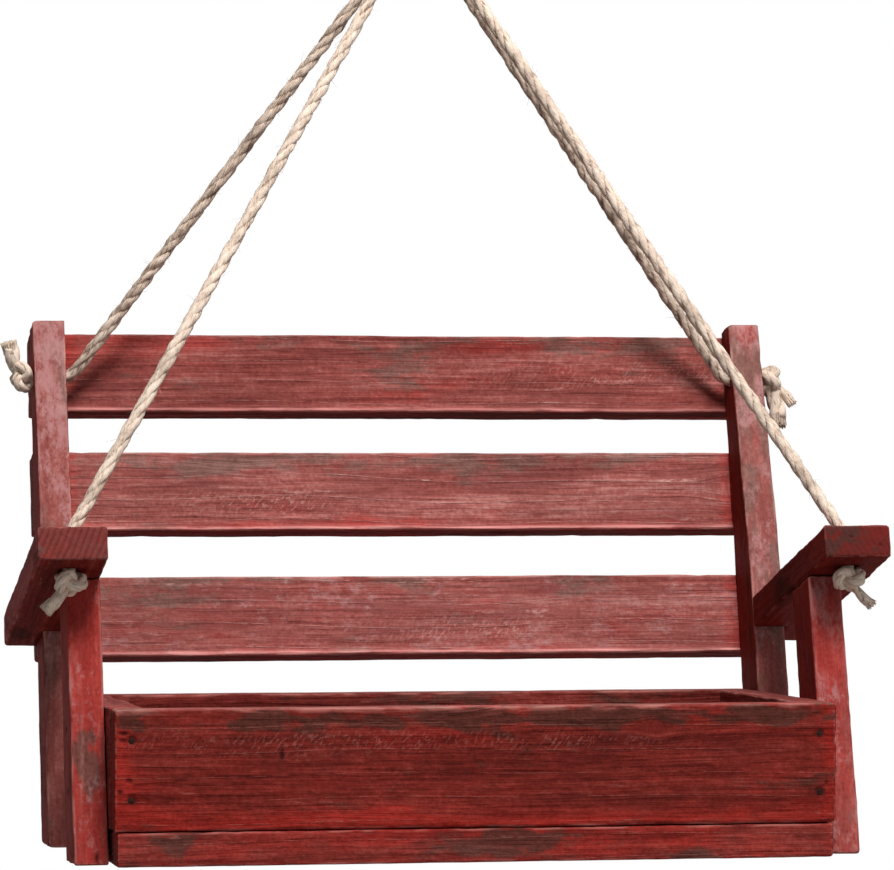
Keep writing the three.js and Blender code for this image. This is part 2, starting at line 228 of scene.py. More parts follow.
def store(mesh, name, values):
    """Keeps one number, or one vector, for each vertex, for the materials to read."""
    values = np.asarray(values, dtype=np.float32)
    kind, key = ("FLOAT", "value") if values.ndim == 1 else ("FLOAT_VECTOR", "vector")
    attribute = mesh.attributes.new(name, kind, "POINT")
    attribute.data.foreach_set(key, values.ravel())


# ---- node trees ---------------------------------------------------------------

class Nodes:
    """The node tree of a material or a world, built one node a call. An input is a number,
    a vector, a colour, or the output of another node."""

    def __init__(self, owner):
        owner.use_nodes = True
        self.owner = owner
        self.tree = owner.node_tree

    def fill(self, node, inputs):
        for key, value in inputs.items():
            socket = node.inputs[key]
            if isinstance(value, bpy.types.NodeSocket):
                self.tree.links.new(value, socket)
            elif socket.type == "RGBA":
                socket.default_value = (*value, 1)
            else:
                socket.default_value = value
        return node

    def add(self, kind, inputs, **settings):
        """The outputs of a new node."""
        node = self.tree.nodes.new("ShaderNode" + kind)
        for name, value in settings.items():
            setattr(node, name, value)
        return self.fill(node, inputs).outputs

    def set(self, inputs):
        """Fills inputs of a material's own shader, and returns what it gives out."""
        return self.fill(self.tree.nodes["Principled BSDF"], inputs).outputs[0]

    def attribute(self, name, output="Fac"):
        return self.add("Attribute", {}, attribute_name=name)[output]

    def place(self):
        return self.add("TexCoord", {})["Object"]

    def seen_rays(self):
        """1 for a ray that shows a surface to the camera, straight or in metal or glass,
        and 0 for one that carries light."""
        rays = self.add("LightPath", {})
        seen = self.math("MAXIMUM", rays["Is Camera Ray"], rays["Is Glossy Ray"])
        return self.math("MAXIMUM", seen, rays["Is Transmission Ray"])

    def math(self, operation, a, b=0.0):
        return self.add("Math", {0: a, 1: b}, operation=operation)[0]

    def minus(self, a, b):
        return self.math("SUBTRACT", a, b)

    def plus(self, total, *others):
        for other in others:
            total = self.math("ADD", total, other)
        return total

    def times(self, product, *others):
        for other in others:
            product = self.math("MULTIPLY", product, other)
        return product

    def weighted(self, *terms):
        """The sum of values that are each followed by a weight."""
        return self.plus(*(self.times(value, weight) for value, weight in terms))

    def centred(self, noise, strength):
        """A noise moved to lie about 0."""
        return self.times(self.minus(noise, 0.5), strength)

    def vector(self, operation, a, b):
        return self.add("VectorMath", {0: a, 1: b}, operation=operation)[0]

    def turned(self, vector, degrees):
        rotation = [math.radians(angle) for angle in degrees]
        return self.add("Mapping", {"Vector": vector, "Rotation": rotation})["Vector"]

    def noise(self, vector, scale=1.0, detail=4.0, roughness=0.55, output="Fac"):
        inputs = {"Vector": vector, "Scale": scale, "Detail": detail, "Roughness": roughness}
        return self.add("TexNoise", inputs)[output]

    def stretched(self, vector, along, across, **options):
        """A noise with one scale along X and another across it."""
        return self.noise(self.vector("MULTIPLY", vector, (along, across, across)), **options)

    def between(self, value, low, high, to_low=0.0, to_high=1.0):
        """value from low to high, eased into to_low to to_high."""
        inputs = {"Value": value, "From Min": low, "From Max": high, "To Min": to_low, "To Max": to_high}
        return self.add("MapRange", inputs, interpolation_type="SMOOTHSTEP")["Result"]

    def ramp(self, value, stops):
        node = self.tree.nodes.new("ShaderNodeValToRGB")
        elements = node.color_ramp.elements
        while len(elements) < len(stops):
            elements.new(0.5)
        for element, (position, colour) in zip(elements, stops):
            element.position = position
            element.color = (*colour, 1)
        return self.fill(node, {"Fac": value}).outputs["Color"]

    def mix(self, factor, a, b):
        """Colour a where factor is 0, and b where it is 1."""
        # the node has sockets of its own for each kind of value: these are the colours'
        return self.add("Mix", {0: factor, 6: a, 7: b}, data_type="RGBA")[2]

    def bump(self, height, strength, distance):
        return self.add("Bump", {"Height": height, "Strength": strength, "Distance": distance})["Normal"]


# ---- camera, light and floor --------------------------------------------------

def swing_frame():
    """The woodwork's own frame: x and y are 0 at the middle of the front panel's face,
    and z is 0 under the feet."""
    turn = leaning(HANG_TILT)
    low = (node_points("floor_board") @ turn).min(axis=0)
    origin = turn @ np.array([0, low[1], low[2]])
    return Matrix.Translation(Vector(origin)) @ Matrix.Rotation(math.radians(HANG_TILT), 4, "X")


def make_camera():
    data = bpy.data.cameras.new("camera")
    data.sensor_width = SENSOR_WIDTH
    data.lens = FOCAL_LENGTH
    data.clip_start = 0.05
    data.clip_end = 50
    camera = new_object("camera", data)
    camera.matrix_world = (swing_frame() @ Matrix.Translation(CAMERA_PLACE)
                           @ Matrix.Rotation(-CAMERA_YAW, 4, "Z")
                           @ Matrix.Rotation(math.pi / 2 + CAMERA_PITCH, 4, "X")
                           @ Matrix.Rotation(CAMERA_ROLL, 4, "Z"))
    bpy.context.scene.camera = camera


def make_room():
    """Dim light from all round, in a room that the camera sees as white."""
    m = Nodes(bpy.data.worlds.new("studio"))
    m.tree.nodes.clear()
    lighting = m.add("Background", {"Color": WHITE, "Strength": WORLD_LIGHT})[0]
    shown = m.add("Background", {"Color": WHITE, "Strength": 1.0})[0]
    mixed = m.add("MixShader", {"Fac": m.seen_rays(), 1: lighting, 2: shown})[0]
    m.add("OutputWorld", {"Surface": mixed})
    bpy.context.scene.world = m.owner


def make_lamps():
    """A broad lamp high in front, a weaker one at each side, and one behind."""
    for name, place, size, power in LAMPS:
        data = bpy.data.lights.new(name, "AREA")
        data.shape = "DISK"
        data.size = size
        data.energy = power
        lamp = new_object(name, data)
        lamp.location = place
        lamp.rotation_euler = (LAMPS_AIM - Vector(place)).to_track_quat("-Z", "Y").to_euler()


def make_floor():
    """A pale floor under the swing, which fades to the room's white around it."""
    m = Nodes(bpy.data.materials.new("pale_floor"))
    seen = m.seen_rays()
    colour = m.mix(seen, (0.30, 0.30, 0.30), (0.90, 0.90, 0.90))
    pale = m.set({"Base Color": colour, "Roughness": 0.9})
    white = m.add("Emission", {"Color": WHITE})[0]
    far = m.between(m.add("VectorMath", {0: m.place()}, operation="LENGTH")["Value"], 0.7, 3.2)
    surface = m.add("MixShader", {"Fac": m.times(far, seen), 1: pale, 2: white})[0]
    m.fill(m.tree.nodes["Material Output"], {"Surface": surface})

    corners = [(FLOOR_HALF * x, FLOOR_HALF * y, 0) for x, y in ((-1, -1), (1, -1), (1, 1), (-1, 1))]
    floor = new_object("floor", new_mesh("floor", corners, [(0, 1, 2, 3)]))
    floor.data.materials.append(m.owner)
    floor.location = (0, 0, cad_bounds[0][2] - FLOOR_DROP)


# ---- materials ----------------------------------------------------------------

class RedWood(Nodes):
    """Lumber under a worn, see-through barn-red wash. The boards' attributes say where:
    "grain" runs along X, "rings" is the distance from the pith in mm, and so is "edge"
    from the nearest edge. Each method lays one more thing over the colour so far."""

    def __init__(self):
        super().__init__(bpy.data.materials.new("red_wood"))
        self.grain = self.attribute("grain", "Vector")
        self.rings = self.attribute("rings")
        self.tone = self.attribute("tone")
        self.figured = self.attribute("figured")
        self.end = self.attribute("end_grain")
        self.stain = self.attribute("stain")
        self.bent = self.bent_grain()
        self.lines = self.stretched(self.bent, 9, 400, detail=5, roughness=0.66)
        self.bands = self.stretched(self.bent, 4.5, 75, detail=4, roughness=0.58)
        self.hairlines = self.stretched(self.bent, 22, 1500, detail=2, roughness=0.6)
        self.ridge = self.stretched(self.bent, 12, 250, detail=2)
        self.blotches = self.stretched(self.grain, 6, 26, detail=5, roughness=0.6)
        self.broken = self.stretched(self.grain, 34, 110, detail=3)
        self.beads = self.stretched(self.grain, 210, 420, detail=2)
        self.bumps = self.stretched(self.grain, 95, 210, detail=3)
        self.rubs = self.stretched(self.grain, 45, 210, detail=4)
        self.grit = self.noise(self.grain, scale=420, detail=4, roughness=0.65)
        self.pores = self.noise(self.grain, scale=1100, detail=3)

    def bent_grain(self):
        """The grain's coordinates with a sway across it, which is wider in the swirls."""
        sway = self.stretched(self.grain, 5, 16, detail=2, output="Color")
        sway = self.vector("SUBTRACT", sway, (0.5, 0.5, 0.5))
        swirls = self.between(self.stretched(self.grain, 7, 20, detail=1), 0.58, 0.74, 0.006, 0.030)
        sway = self.vector("MULTIPLY", sway, self.vector("MULTIPLY", swirls, (0, 1, 1)))
        return self.vector("ADD", self.grain, sway)

    def toned(self, deep, pale_colour):
        """The deep colour where the tone is 0, and the pale one where it is 1."""
        return self.mix(self.tone, deep, pale_colour)

    def toned_ramp(self, *stops):
        """The same along the figure. A stop is its position and its two colours."""
        deep = self.ramp(self.figure, [(position, colour) for position, colour, _ in stops])
        pale_colour = self.ramp(self.figure, [(position, colour) for position, _, colour in stops])
        return self.toned(deep, pale_colour)

    def through_ring(self, wander, spacing):
        """From 0 to 1 through each growth ring. The rings wander, and are spacing mm wide."""
        return self.math("FRACT", self.math("DIVIDE", self.plus(self.rings, wander), spacing))

    def lay(self, share, colour):
        self.colour = self.mix(share, self.colour, colour)

    def lay_wash(self):
        """The grain under the wash: fine straight lines over broader bands."""
        figure = self.plus(self.centred(self.lines, 0.40), self.centred(self.bands, 0.60),
                           self.centred(self.hairlines, 0.20))
        self.figure = self.plus(self.times(figure, self.figured), self.centred(self.grit, 0.34),
                                self.centred(self.bumps, 0.30), 0.5)
        self.colour = self.toned_ramp(
            (0.34, (0.070, 0.0085, 0.0065), (0.190, 0.044, 0.038)),
            (0.44, (0.122, 0.0125, 0.0092), (0.285, 0.074, 0.064)),
            (0.54, (0.180, 0.0190, 0.0138), (0.370, 0.112, 0.098)),
            (0.66, (0.262, 0.038, 0.029), (0.520, 0.225, 0.200)),
        )
        shaded = self.between(self.blotches, 0.50, 0.36, 0, 0.55)
        self.lay(shaded, self.toned((0.068, 0.0090, 0.0075), (0.235, 0.070, 0.064)))

    def lay_thick_wash(self):
        """Brighter red where the wash lies thick."""
        fresh = self.plus(self.attribute("fresh"), self.between(self.blotches, 0.50, 0.68, 0, 0.48),
                          self.centred(self.broken, 0.9))
        self.fresh = self.between(fresh, 0.08, 0.85, 0, 0.90)
        self.lay(self.fresh, self.toned_ramp(
            (0.40, (0.190, 0.0115, 0.0085), (0.350, 0.0400, 0.0350)),
            (0.60, (0.350, 0.0260, 0.0190), (0.530, 0.0800, 0.0680)),
        ))

    def wear_off(self):
        """Olive-grey wood where the wash has worn off."""
        wear = self.stretched(self.grain, 15, 48, detail=6, roughness=0.66)
        worn = self.plus(self.centred(wear, 2.0), self.times(self.attribute("bare"), 0.26),
                         self.centred(self.bands, 0.35))
        self.bare = self.between(worn, 0.14, 0.38, 0, 0.80)
        self.lay(self.bare, self.toned_ramp(
            (0.40, (0.034, 0.0120, 0.0088), (0.160, 0.082, 0.067)),
            (0.60, (0.080, 0.0270, 0.0200), (0.285, 0.160, 0.134)),
        ))

    def lay_bloom(self):
        """A chalky bloom, crazed with red."""
        chalk = self.attribute("chalk")
        crazing = self.stretched(self.bent, 1.0, 1.6, scale=120, detail=6, roughness=0.78)
        bloom = self.plus(chalk, self.centred(crazing, 3.2), self.centred(self.blotches, 1.4))
        bloom = self.times(self.between(bloom, 0.20, 0.90, 0, 0.80), self.between(chalk, 0, 0.3))
        self.lay(bloom, (0.460, 0.225, 0.218))

    def lay_lip(self):
        """A painted highlight on the lip that the wash has run down into, along a lower edge."""
        lip = self.times(self.attribute("lip"), self.between(self.broken, 0.34, 0.52, 0.35, 1.0))
        self.lay(lip, self.toned((0.460, 0.110, 0.095), (0.940, 0.420, 0.385)))

    def light_grain_crests(self):
        """Painted highlights on broken crests of the grain, and painted shade in its furrows."""
        crest_highlight = self.times(self.between(self.ridge, 0.60, 0.70), self.between(self.beads, 0.40, 0.64),
                           self.between(self.broken, 0.42, 0.62), self.figured)
        furrow_shade = self.times(self.between(self.ridge, 0.40, 0.32),
                            self.between(self.broken, 0.40, 0.60), self.figured)
        self.lay(self.times(crest_highlight, 0.60), self.toned((0.360, 0.120, 0.100), (0.700, 0.400, 0.350)))
        self.lay(self.times(furrow_shade, 0.50), self.toned((0.040, 0.0055, 0.0045), (0.150, 0.030, 0.026)))

    def raise_long_lines(self):
        """A few long raised lines, with a painted highlight along them."""
        drift = self.centred(self.stretched(self.grain, 2.5, 24, detail=2), 9.0)
        apart = self.math("ABSOLUTE", self.minus(self.through_ring(drift, 12.5), 0.5))
        self.long_line = self.times(
            self.between(apart, 0.034, 0.008), self.between(self.beads, 0.34, 0.60),
            self.between(self.broken, 0.36, 0.56), self.figured)
        pale = self.toned((0.380, 0.130, 0.105), (0.720, 0.430, 0.380))
        self.lay(self.times(self.long_line, 0.38), pale)

    def plane(self):
        """Slanting marks that the planer left, each with a painted highlight."""
        slant = self.turned(self.grain, (0, 52, 0))
        chips = self.noise(self.vector("MULTIPLY", slant, (240, 240, 640)), detail=2)
        self.chatter = self.times(self.between(chips, 0.51, 0.62), self.attribute("chatter"),
                                  self.between(self.broken, 0.34, 0.54))
        pale = self.toned((0.330, 0.105, 0.085), (0.640, 0.330, 0.290))
        self.lay(self.times(self.chatter, 0.45), pale)

    def rub_and_light_edges(self):
        # Pale edges: rubbed wear, and a painted highlight where the rounded edges catch the light.
        rub_and_highlight = self.times(self.between(self.attribute("edge"), 2.0, 0.6),
                         self.between(self.rubs, 0.42, 0.60))
        self.lay(self.times(rub_and_highlight, 0.62), self.toned((0.390, 0.120, 0.100), (0.620, 0.300, 0.260)))

    def lay_end_grain(self):
        """Growth rings as faint arcs, and open pores."""
        wander = self.centred(self.stretched(self.grain, 4, 40, detail=3), 3.2)
        ring = self.through_ring(wander, 3.3)
        self.late = self.times(self.between(ring, 0.30, 0.72), self.between(ring, 0.98, 0.78))
        red = self.toned((0.120, 0.018, 0.015), (0.275, 0.075, 0.066))
        dark = self.toned((0.080, 0.012, 0.010), (0.165, 0.034, 0.029))
        bright = self.toned((0.200, 0.0150, 0.0120), (0.400, 0.0600, 0.0480))
        grey = self.toned((0.058, 0.0260, 0.0225), (0.240, 0.130, 0.118))
        colour = self.mix(self.times(self.late, self.figured), red, dark)
        colour = self.mix(self.between(self.pores, 0.56, 0.72, 0, 0.25), colour, (0.045, 0.009, 0.008))
        colour = self.mix(self.times(self.fresh, 0.7), colour, bright)
        colour = self.mix(self.bare, colour, grey)
        self.lay(self.times(self.end, 0.85), colour)

    def weep(self):
        """Dark stains round the nails and in the dents."""
        weep = self.times(self.stain, self.between(self.rubs, 0.34, 0.60, 0.35, 1.0))
        self.lay(self.times(weep, 0.85), (0.016, 0.006, 0.005))

    def relief(self):
        """The height of the surface, for its bumps."""
        raised = self.weighted((self.lines, 0.42), (self.hairlines, 0.22),
                               (self.between(self.ridge, 0.36, 0.66), 0.60))
        raised = self.times(raised, self.plus(self.times(self.figured, 0.8), 0.2),
                            self.minus(1.0, self.times(self.end, 0.85)))
        return self.weighted(
            (raised, 1.0), (self.chatter, 0.35), (self.long_line, 0.50), (self.beads, 0.12),
            (self.bumps, 1.1), (self.grit, 0.45), (self.times(self.late, self.end), -0.25),
            (self.times(self.pores, self.end), -0.3), (self.stain, -1.0))


def red_wood():
    wood = RedWood()
    wood.lay_wash()
    wood.lay_thick_wash()
    wood.wear_off()
    wood.lay_bloom()
    wood.lay_lip()
    wood.light_grain_crests()
    wood.raise_long_lines()
    wood.plane()
    wood.rub_and_light_edges()
    wood.lay_end_grain()
    wood.weep()
    gloss = wood.plus(wood.minus(0.78, wood.times(wood.lines, 0.30)), wood.times(wood.bare, 0.25))
    wood.set({"Base Color": wood.colour, "Roughness": gloss, "Specular IOR Level": 0.008,
              "Normal": wood.bump(wood.relief(), 0.9, 0.0008)})
    return wood.owner


def jute(name, paleness):
    """Twisted plant fibre, pale on its strands and darker between them, a painted shade, and paler
    all over for a higher paleness. The "strand" UV map runs round and along each strand, in cm."""
    m = Nodes(bpy.data.materials.new(name))
    strand = m.add("UVMap", {}, uv_map="strand")["UV"]
    spiral = m.turned(strand, (0, 0, -24))
    yarns = m.noise(m.vector("MULTIPLY", spiral, (7, 0.7, 1)), detail=3)
    fibres = m.noise(m.vector("MULTIPLY", spiral, (17, 1.8, 1)), detail=5, roughness=0.68)
    lumps = m.noise(m.vector("MULTIPLY", strand, (1.6, 1.1, 1)), detail=4, roughness=0.6)
    grime = m.noise(m.place(), scale=48, detail=5, roughness=0.62)
    value = m.plus(m.weighted((fibres, 0.56), (yarns, 0.34), (lumps, 0.42)), paleness)
    # painted shade: darker towards the rope's middle, between the strands
    value = m.minus(value, m.between(m.attribute("depth"), 0.94, 0.70, 0, 0.10))
    clean = m.ramp(value, [
        (0.32, (0.125, 0.082, 0.060)), (0.42, (0.380, 0.270, 0.205)),
        (0.50, (0.690, 0.540, 0.430)), (0.64, (0.880, 0.735, 0.610)),
    ])
    grimy = m.ramp(value, [(0.34, (0.070, 0.046, 0.036)), (0.62, (0.520, 0.385, 0.295))])
    colour = m.mix(m.between(grime, 0.48, 0.68, 0, 0.70), clean, grimy)
    m.set({"Base Color": colour, "Roughness": 0.95, "Specular IOR Level": 0.08,
           "Normal": m.bump(value, 0.8, 0.0008)})
    return m.owner


def zinc():
    """Zinc-plated wire: satin, with a dull bloom, grime and specks of rust."""
    m = Nodes(bpy.data.materials.new("zinc_plate"))
    place = m.place()
    bloom = m.noise(place, scale=260, detail=5, roughness=0.6)
    grime = m.noise(place, scale=90, detail=4)
    specks = m.noise(place, scale=1400, detail=2)
    colour = m.ramp(bloom, [
        (0.35, (0.20, 0.205, 0.21)), (0.52, (0.33, 0.335, 0.34)), (0.66, (0.48, 0.48, 0.475)),
    ])
    colour = m.mix(m.between(grime, 0.50, 0.66, 0, 0.65), colour, (0.095, 0.083, 0.070))
    colour = m.mix(m.between(specks, 0.64, 0.73, 0, 0.6), colour, (0.150, 0.070, 0.035))
    rough = m.plus(m.between(bloom, 0.35, 0.65, 0.30, 0.48), m.between(grime, 0.53, 0.68, 0, 0.18))
    relief = m.weighted((bloom, 0.6), (specks, 0.4))
    m.set({"Base Color": colour, "Metallic": 0.9, "Roughness": rough,
           "Normal": m.bump(relief, 0.25, 0.0002)})
    return m.owner


def rusty_nail():
    """A nail head gone dark, with patches of rust."""
    m = Nodes(bpy.data.materials.new("rusty_nail"))
    place = m.place()
    rust = m.noise(place, scale=1100, detail=5, roughness=0.65)
    broad = m.noise(place, scale=300, detail=3)
    colour = m.ramp(rust, [
        (0.36, (0.010, 0.006, 0.005)), (0.52, (0.026, 0.010, 0.008)), (0.66, (0.075, 0.024, 0.015)),
    ])
    colour = m.mix(m.between(broad, 0.54, 0.66, 0, 0.4), colour, (0.034, 0.020, 0.017))
    m.set({"Base Color": colour, "Metallic": 0.05, "Specular IOR Level": 0.05,
           "Roughness": m.between(rust, 0.35, 0.65, 0.6, 0.9), "Normal": m.bump(rust, 0.6, 0.0004)})
    return m.owner


# ---- paths and tubes ----------------------------------------------------------

def travelled_along(path):
    return np.concatenate([[0], np.cumsum(np.linalg.norm(np.diff(path, axis=0), axis=1))])


def smooth_path(points, step):
    """Points a step apart on a smooth curve through the given ones."""
    points = np.array(points, dtype=float)
    ends = [2 * points[0] - points[1], 2 * points[-1] - points[-2]]
    control = np.vstack([ends[0], points, ends[1]])
    fine = [points[0]]
    for a, b, c, d in zip(control, control[1:], control[2:], control[3:]):
        gaps = [max(np.linalg.norm(q - p), 1e-9) ** 0.5 for p, q in ((a, b), (b, c), (c, d))]
        knots = np.cumsum([0] + gaps)
        for t in np.linspace(knots[1], knots[2], 13)[1:]:
            ab = a + (b - a) * (t - knots[0]) / (knots[1] - knots[0])
            bc = b + (c - b) * (t - knots[1]) / (knots[2] - knots[1])
            cd = c + (d - c) * (t - knots[2]) / (knots[3] - knots[2])
            abc = ab + (bc - ab) * (t - knots[0]) / (knots[2] - knots[0])
            bcd = bc + (cd - bc) * (t - knots[1]) / (knots[3] - knots[1])
            fine.append(abc + (bcd - abc) * (t - knots[1]) / (knots[2] - knots[1]))
    fine = np.array(fine)
    lengths = travelled_along(fine)
    wanted = np.linspace(0, lengths[-1], max(2, int(round(lengths[-1] / step)) + 1))
    return np.stack([np.interp(wanted, lengths, fine[:, k]) for k in range(3)], axis=1)


def path_frames(path, closed=False):
    """At each point of a path, two directions across it that don't spin about it."""
    if closed:
        tangents = np.roll(path, -1, axis=0) - np.roll(path, 1, axis=0)
    else:
        tangents = np.gradient(path, axis=0)
    tangents /= np.linalg.norm(tangents, axis=1, keepdims=True)
    across = [unit(np.cross(tangents[0], [0.3, 1, 0.2]))]
    for tangent in tangents[1:]:
        across.append(unit(across[-1] - tangent * np.dot(across[-1], tangent)))
    across = np.array(across)
    if closed:
        # share out the turn that the directions gain on the way round
        beside = np.cross(tangents[0], across[0])
        gained = math.atan2(float(across[-1] @ beside), float(across[-1] @ across[0]))
        angle = -gained * np.arange(len(path)) / (len(path) - 1)
        sideways = np.cross(tangents, across)
        across = np.cos(angle)[:, None] * across + np.sin(angle)[:, None] * sideways
    return tangents, across, np.cross(tangents, across)


class Tubes:
    """Gathers tubes into one mesh, with a UV map that runs round and along each tube in
    cm, and "depth", how near each point is to its rope's middle: 0 there and 1 outside."""

    def __init__(self):
        self.vertices, self.faces, self.uvs, self.depths = [], [], [], []
        self.count = 0

    def add(self, path, radii, sides, closed=False, start=0.0, middle=None, rope_radius=1.0):
        """A tube along a path. radii has a number for each point, or one for each of its
        sides too. middle is the line of the rope that the tube is part of."""
        radii = np.asarray(radii, dtype=float).reshape(len(path), -1)
        radii = np.broadcast_to(radii, (len(path), sides))
        _, across, beside = path_frames(path, closed)
        angles = np.linspace(0, FULL_TURN, sides, endpoint=False)
        around = (np.cos(angles)[None, :, None] * across[:, None]
                  + np.sin(angles)[None, :, None] * beside[:, None])
        rings = path[:, None] + radii[..., None] * around
        self.vertices.append(rings.reshape(-1, 3))
        if middle is None:
            self.depths.append(np.ones(len(path) * sides))
        else:
            self.depths.append(np.linalg.norm(rings - middle[:, None], axis=2).ravel() / rope_radius)

        along = (start + travelled_along(path)) * 100
        last = along[-1] + np.linalg.norm(path[0] - path[-1]) * 100
        girth = FULL_TURN * float(radii.mean()) * 100
        for i in range(len(path) if closed else len(path) - 1):
            j = (i + 1) % len(path)
            v0, v1 = along[i], along[j] if j else last
            for k in range(sides):
                n = (k + 1) % sides
                self.faces.append(tuple(self.count + row * sides + column
                                        for row, column in ((i, k), (i, n), (j, n), (j, k))))
                u0, u1 = girth * k / sides, girth * (k + 1) / sides
                self.uvs += [(u0, v0), (u1, v0), (u1, v1), (u0, v1)]
        if not closed:
            for ring, order in ((0, -1), (len(path) - 1, 1)):
                cap = [self.count + ring * sides + k for k in range(sides)][::order]
                self.faces.append(tuple(cap))
                self.uvs += [(0, along[ring])] * sides
        self.count += len(path) * sides

    def build(self, name, material, body="swing", slot="rope"):
        obj = make_piece(name, np.vstack(self.vertices), self.faces, material, body)
        layer = obj.data.uv_layers.new(name="strand")
        layer.data.foreach_set("uv", np.array(self.uvs, dtype=np.float32).ravel())
        store(obj.data, "depth", np.concatenate(self.depths))
        return obj


def wire(path, radius, closed=False):
    """The vertices and faces of a bent wire."""
    tubes = Tubes()
    tubes.add(path, radius, WIRE_SIDES, closed=closed)
    return np.vstack(tubes.vertices), tubes.faces


# ---- ropes --------------------------------------------------------------------

def lay_strands(tubes, path, diameter, seed, lay=ROPE_LAY, sides=12, closed=False, opened=0.0):
    """Twists three soft strands about a path. opened, one number for each point, is how
    far they have come apart there."""
    rng = np.random.default_rng(seed)
    strand_radius, helix_radius = 0.335 * diameter, 0.175 * diameter
    _, across, beside = path_frames(path, closed)
    travelled = travelled_along(path)
    if closed:
        whole = max(1, round(travelled[-1] / lay))
        turns = np.arange(len(path)) / len(path) * whole
    else:
        turns = travelled / lay + 0.14 * np.sin(travelled / 0.023 + rng.uniform(0, 6))
    for s in range(3):
        angle = FULL_TURN * (turns + s / 3)
        reach = helix_radius * (1 + 0.12 * ripple(path, 0.020, seed * 5 + s)) + opened
        outward = np.cos(angle)[:, None] * across + np.sin(angle)[:, None] * beside
        line = path + reach[:, None] * outward
        swell = 1 + 0.10 * ripple(line, 0.016, seed * 7 + s) + 0.06 * ripple(line, 0.005, seed * 11 + s)
        shaggy = rng.normal(size=(len(path) + 3, sides))
        shaggy = 1 + 0.045 * (shaggy[:-3] + shaggy[1:-2] + shaggy[2:-1] + shaggy[3:]) / 2
        radii = strand_radius * swell[:, None] * np.clip(shaggy, 0.86, 1.12)
        tubes.add(line, radii, sides, closed=closed, start=rng.uniform(0, 1), middle=path,
                  rope_radius=diameter / 2)


def fray(tubes, start, direction, length, radius, spread, seed, count):
    """A brush of fibres at a cut end."""
    rng = np.random.default_rng(seed)
    direction = unit(direction)
    first = unit(np.cross(direction, [0.2, 0.3, 1]))
    second = np.cross(direction, first)
    t = np.linspace(0, 1, 8)
    for _ in range(count):
        angle, share = rng.uniform(0, FULL_TURN), math.sqrt(rng.uniform(0.02, 1))
        outward = math.cos(angle) * first + math.sin(angle) * second
        reach = length * rng.uniform(0.84, 1.0)
        bow = rng.normal(size=3) * 0.06 * length
        line = (start + np.outer(t, direction * reach)
                + np.outer(radius * share * (1 - 0.25 * t) + spread * share * t ** 1.6, outward)
                + np.outer(t * t * (1 - 0.4 * t), bow))
        thick = rng.uniform(0.28, 0.62) * MM
        tubes.add(line, thick * (1 - 0.72 * t ** 2), 5, start=rng.uniform(0, 1))


def fuzz(path, count, seed, reach, keep_off=None):
    """Loose fibres standing off a rope, on the side away from the point keep_off. reach is
    the range of their lengths, in mm."""
    rng = np.random.default_rng(seed)
    tubes = Tubes()
    tangents, across, beside = path_frames(path)
    t = np.linspace(0, 1, 6)
    for _ in range(count):
        i = rng.integers(2, len(path) - 2)
        angle = rng.uniform(0, FULL_TURN)
        outward = math.cos(angle) * across[i] + math.sin(angle) * beside[i]
        if keep_off is not None and outward @ (path[i] - keep_off) < 0:
            outward = -outward
        length = rng.uniform(*reach) * MM * rng.uniform(0.4, 1.0)
        lean = rng.choice([-1, 1]) * rng.uniform(0.5, 1.6) * tangents[i]
        heading = outward * rng.uniform(0.35, 1.0) + lean
        heading *= length / np.linalg.norm(heading)
        curl = rng.normal(size=3) * 0.30 * length
        root = path[i] + outward * ROPE_DIAMETER / 2 * 0.86
        line = root + np.outer(t, heading) + np.outer(t ** 2, curl)
        tubes.add(line, 0.10 * MM * (1 - 0.6 * t), 3)
    return tubes


def make_ropes(front_jute, back_jute):
    """The four ropes, each with its stopper knot."""
    for row, route, material in (("front", FRONT_ROPE, front_jute), ("back", BACK_ROPE, back_jute)):
        for side, s in SIDES:
            points = [(s * x, y, z) for x, y, z in route]
            seed = 31 + 7 * (s > 0) + 17 * (row == "back")
            path = smooth_path(points, ROPE_STEP)
            strands = Tubes()
            lay_strands(strands, path, ROPE_DIAMETER, seed)
            rope = strands.build(f"rope_{row}_{side}_jute", material)
            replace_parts(rope, f"rope_{row}_{side}")
            loose = fuzz(path, int(HAIRS_PER_STEP * len(path)), seed, (1.4, 5.2))
            hairs = loose.build(f"rope_{row}_{side}_hairs", material)
            knot = make_knot(row, side, s, path, front_jute)


# Each knot: how far it is turned about its rope, in radians, how far it has ridden up, in
# mm, and its cut ends. A cut end has its direction in the world, its length from the
# knot's middle and its width, in mm, and how far it has splayed, in mm.
KNOTS = {
    ("front", "left"): (0.4, 0.0, [((-0.64, 0.10, -0.76), 21, 7.6, 1.6)]),
    ("front", "right"): (2.0, 0.0, [((0.66, 0.10, -0.72), 21, 5.6, 1.4)]),
    ("back", "left"): (1.1, 2.5, [((-0.36, -0.15, 0.92), 22, 9.2, 2.0)]),
    ("back", "right"): (0.2, 1.5, [((0.14, -0.15, -0.97), 30, 11.0, 0.8),
                                   ((0.68, -0.10, -0.73), 21, 5.8, 1.0)]),
}
KNOT_SIZE = 2.35 * MM            # a third of the radius that its loops reach
KNOT_DEPTH = 3.2 * MM            # how far its loops rise and dip
KNOT_STANDOFF = 6.4 * MM         # from the rope's end to the knot's middle
KNOT_ROPE_DIAMETER = 6.6 * MM    # of the rope where it is drawn tight
KNOT_STEP = 1.2 * MM             # between the points of the paths in a knot or a loop


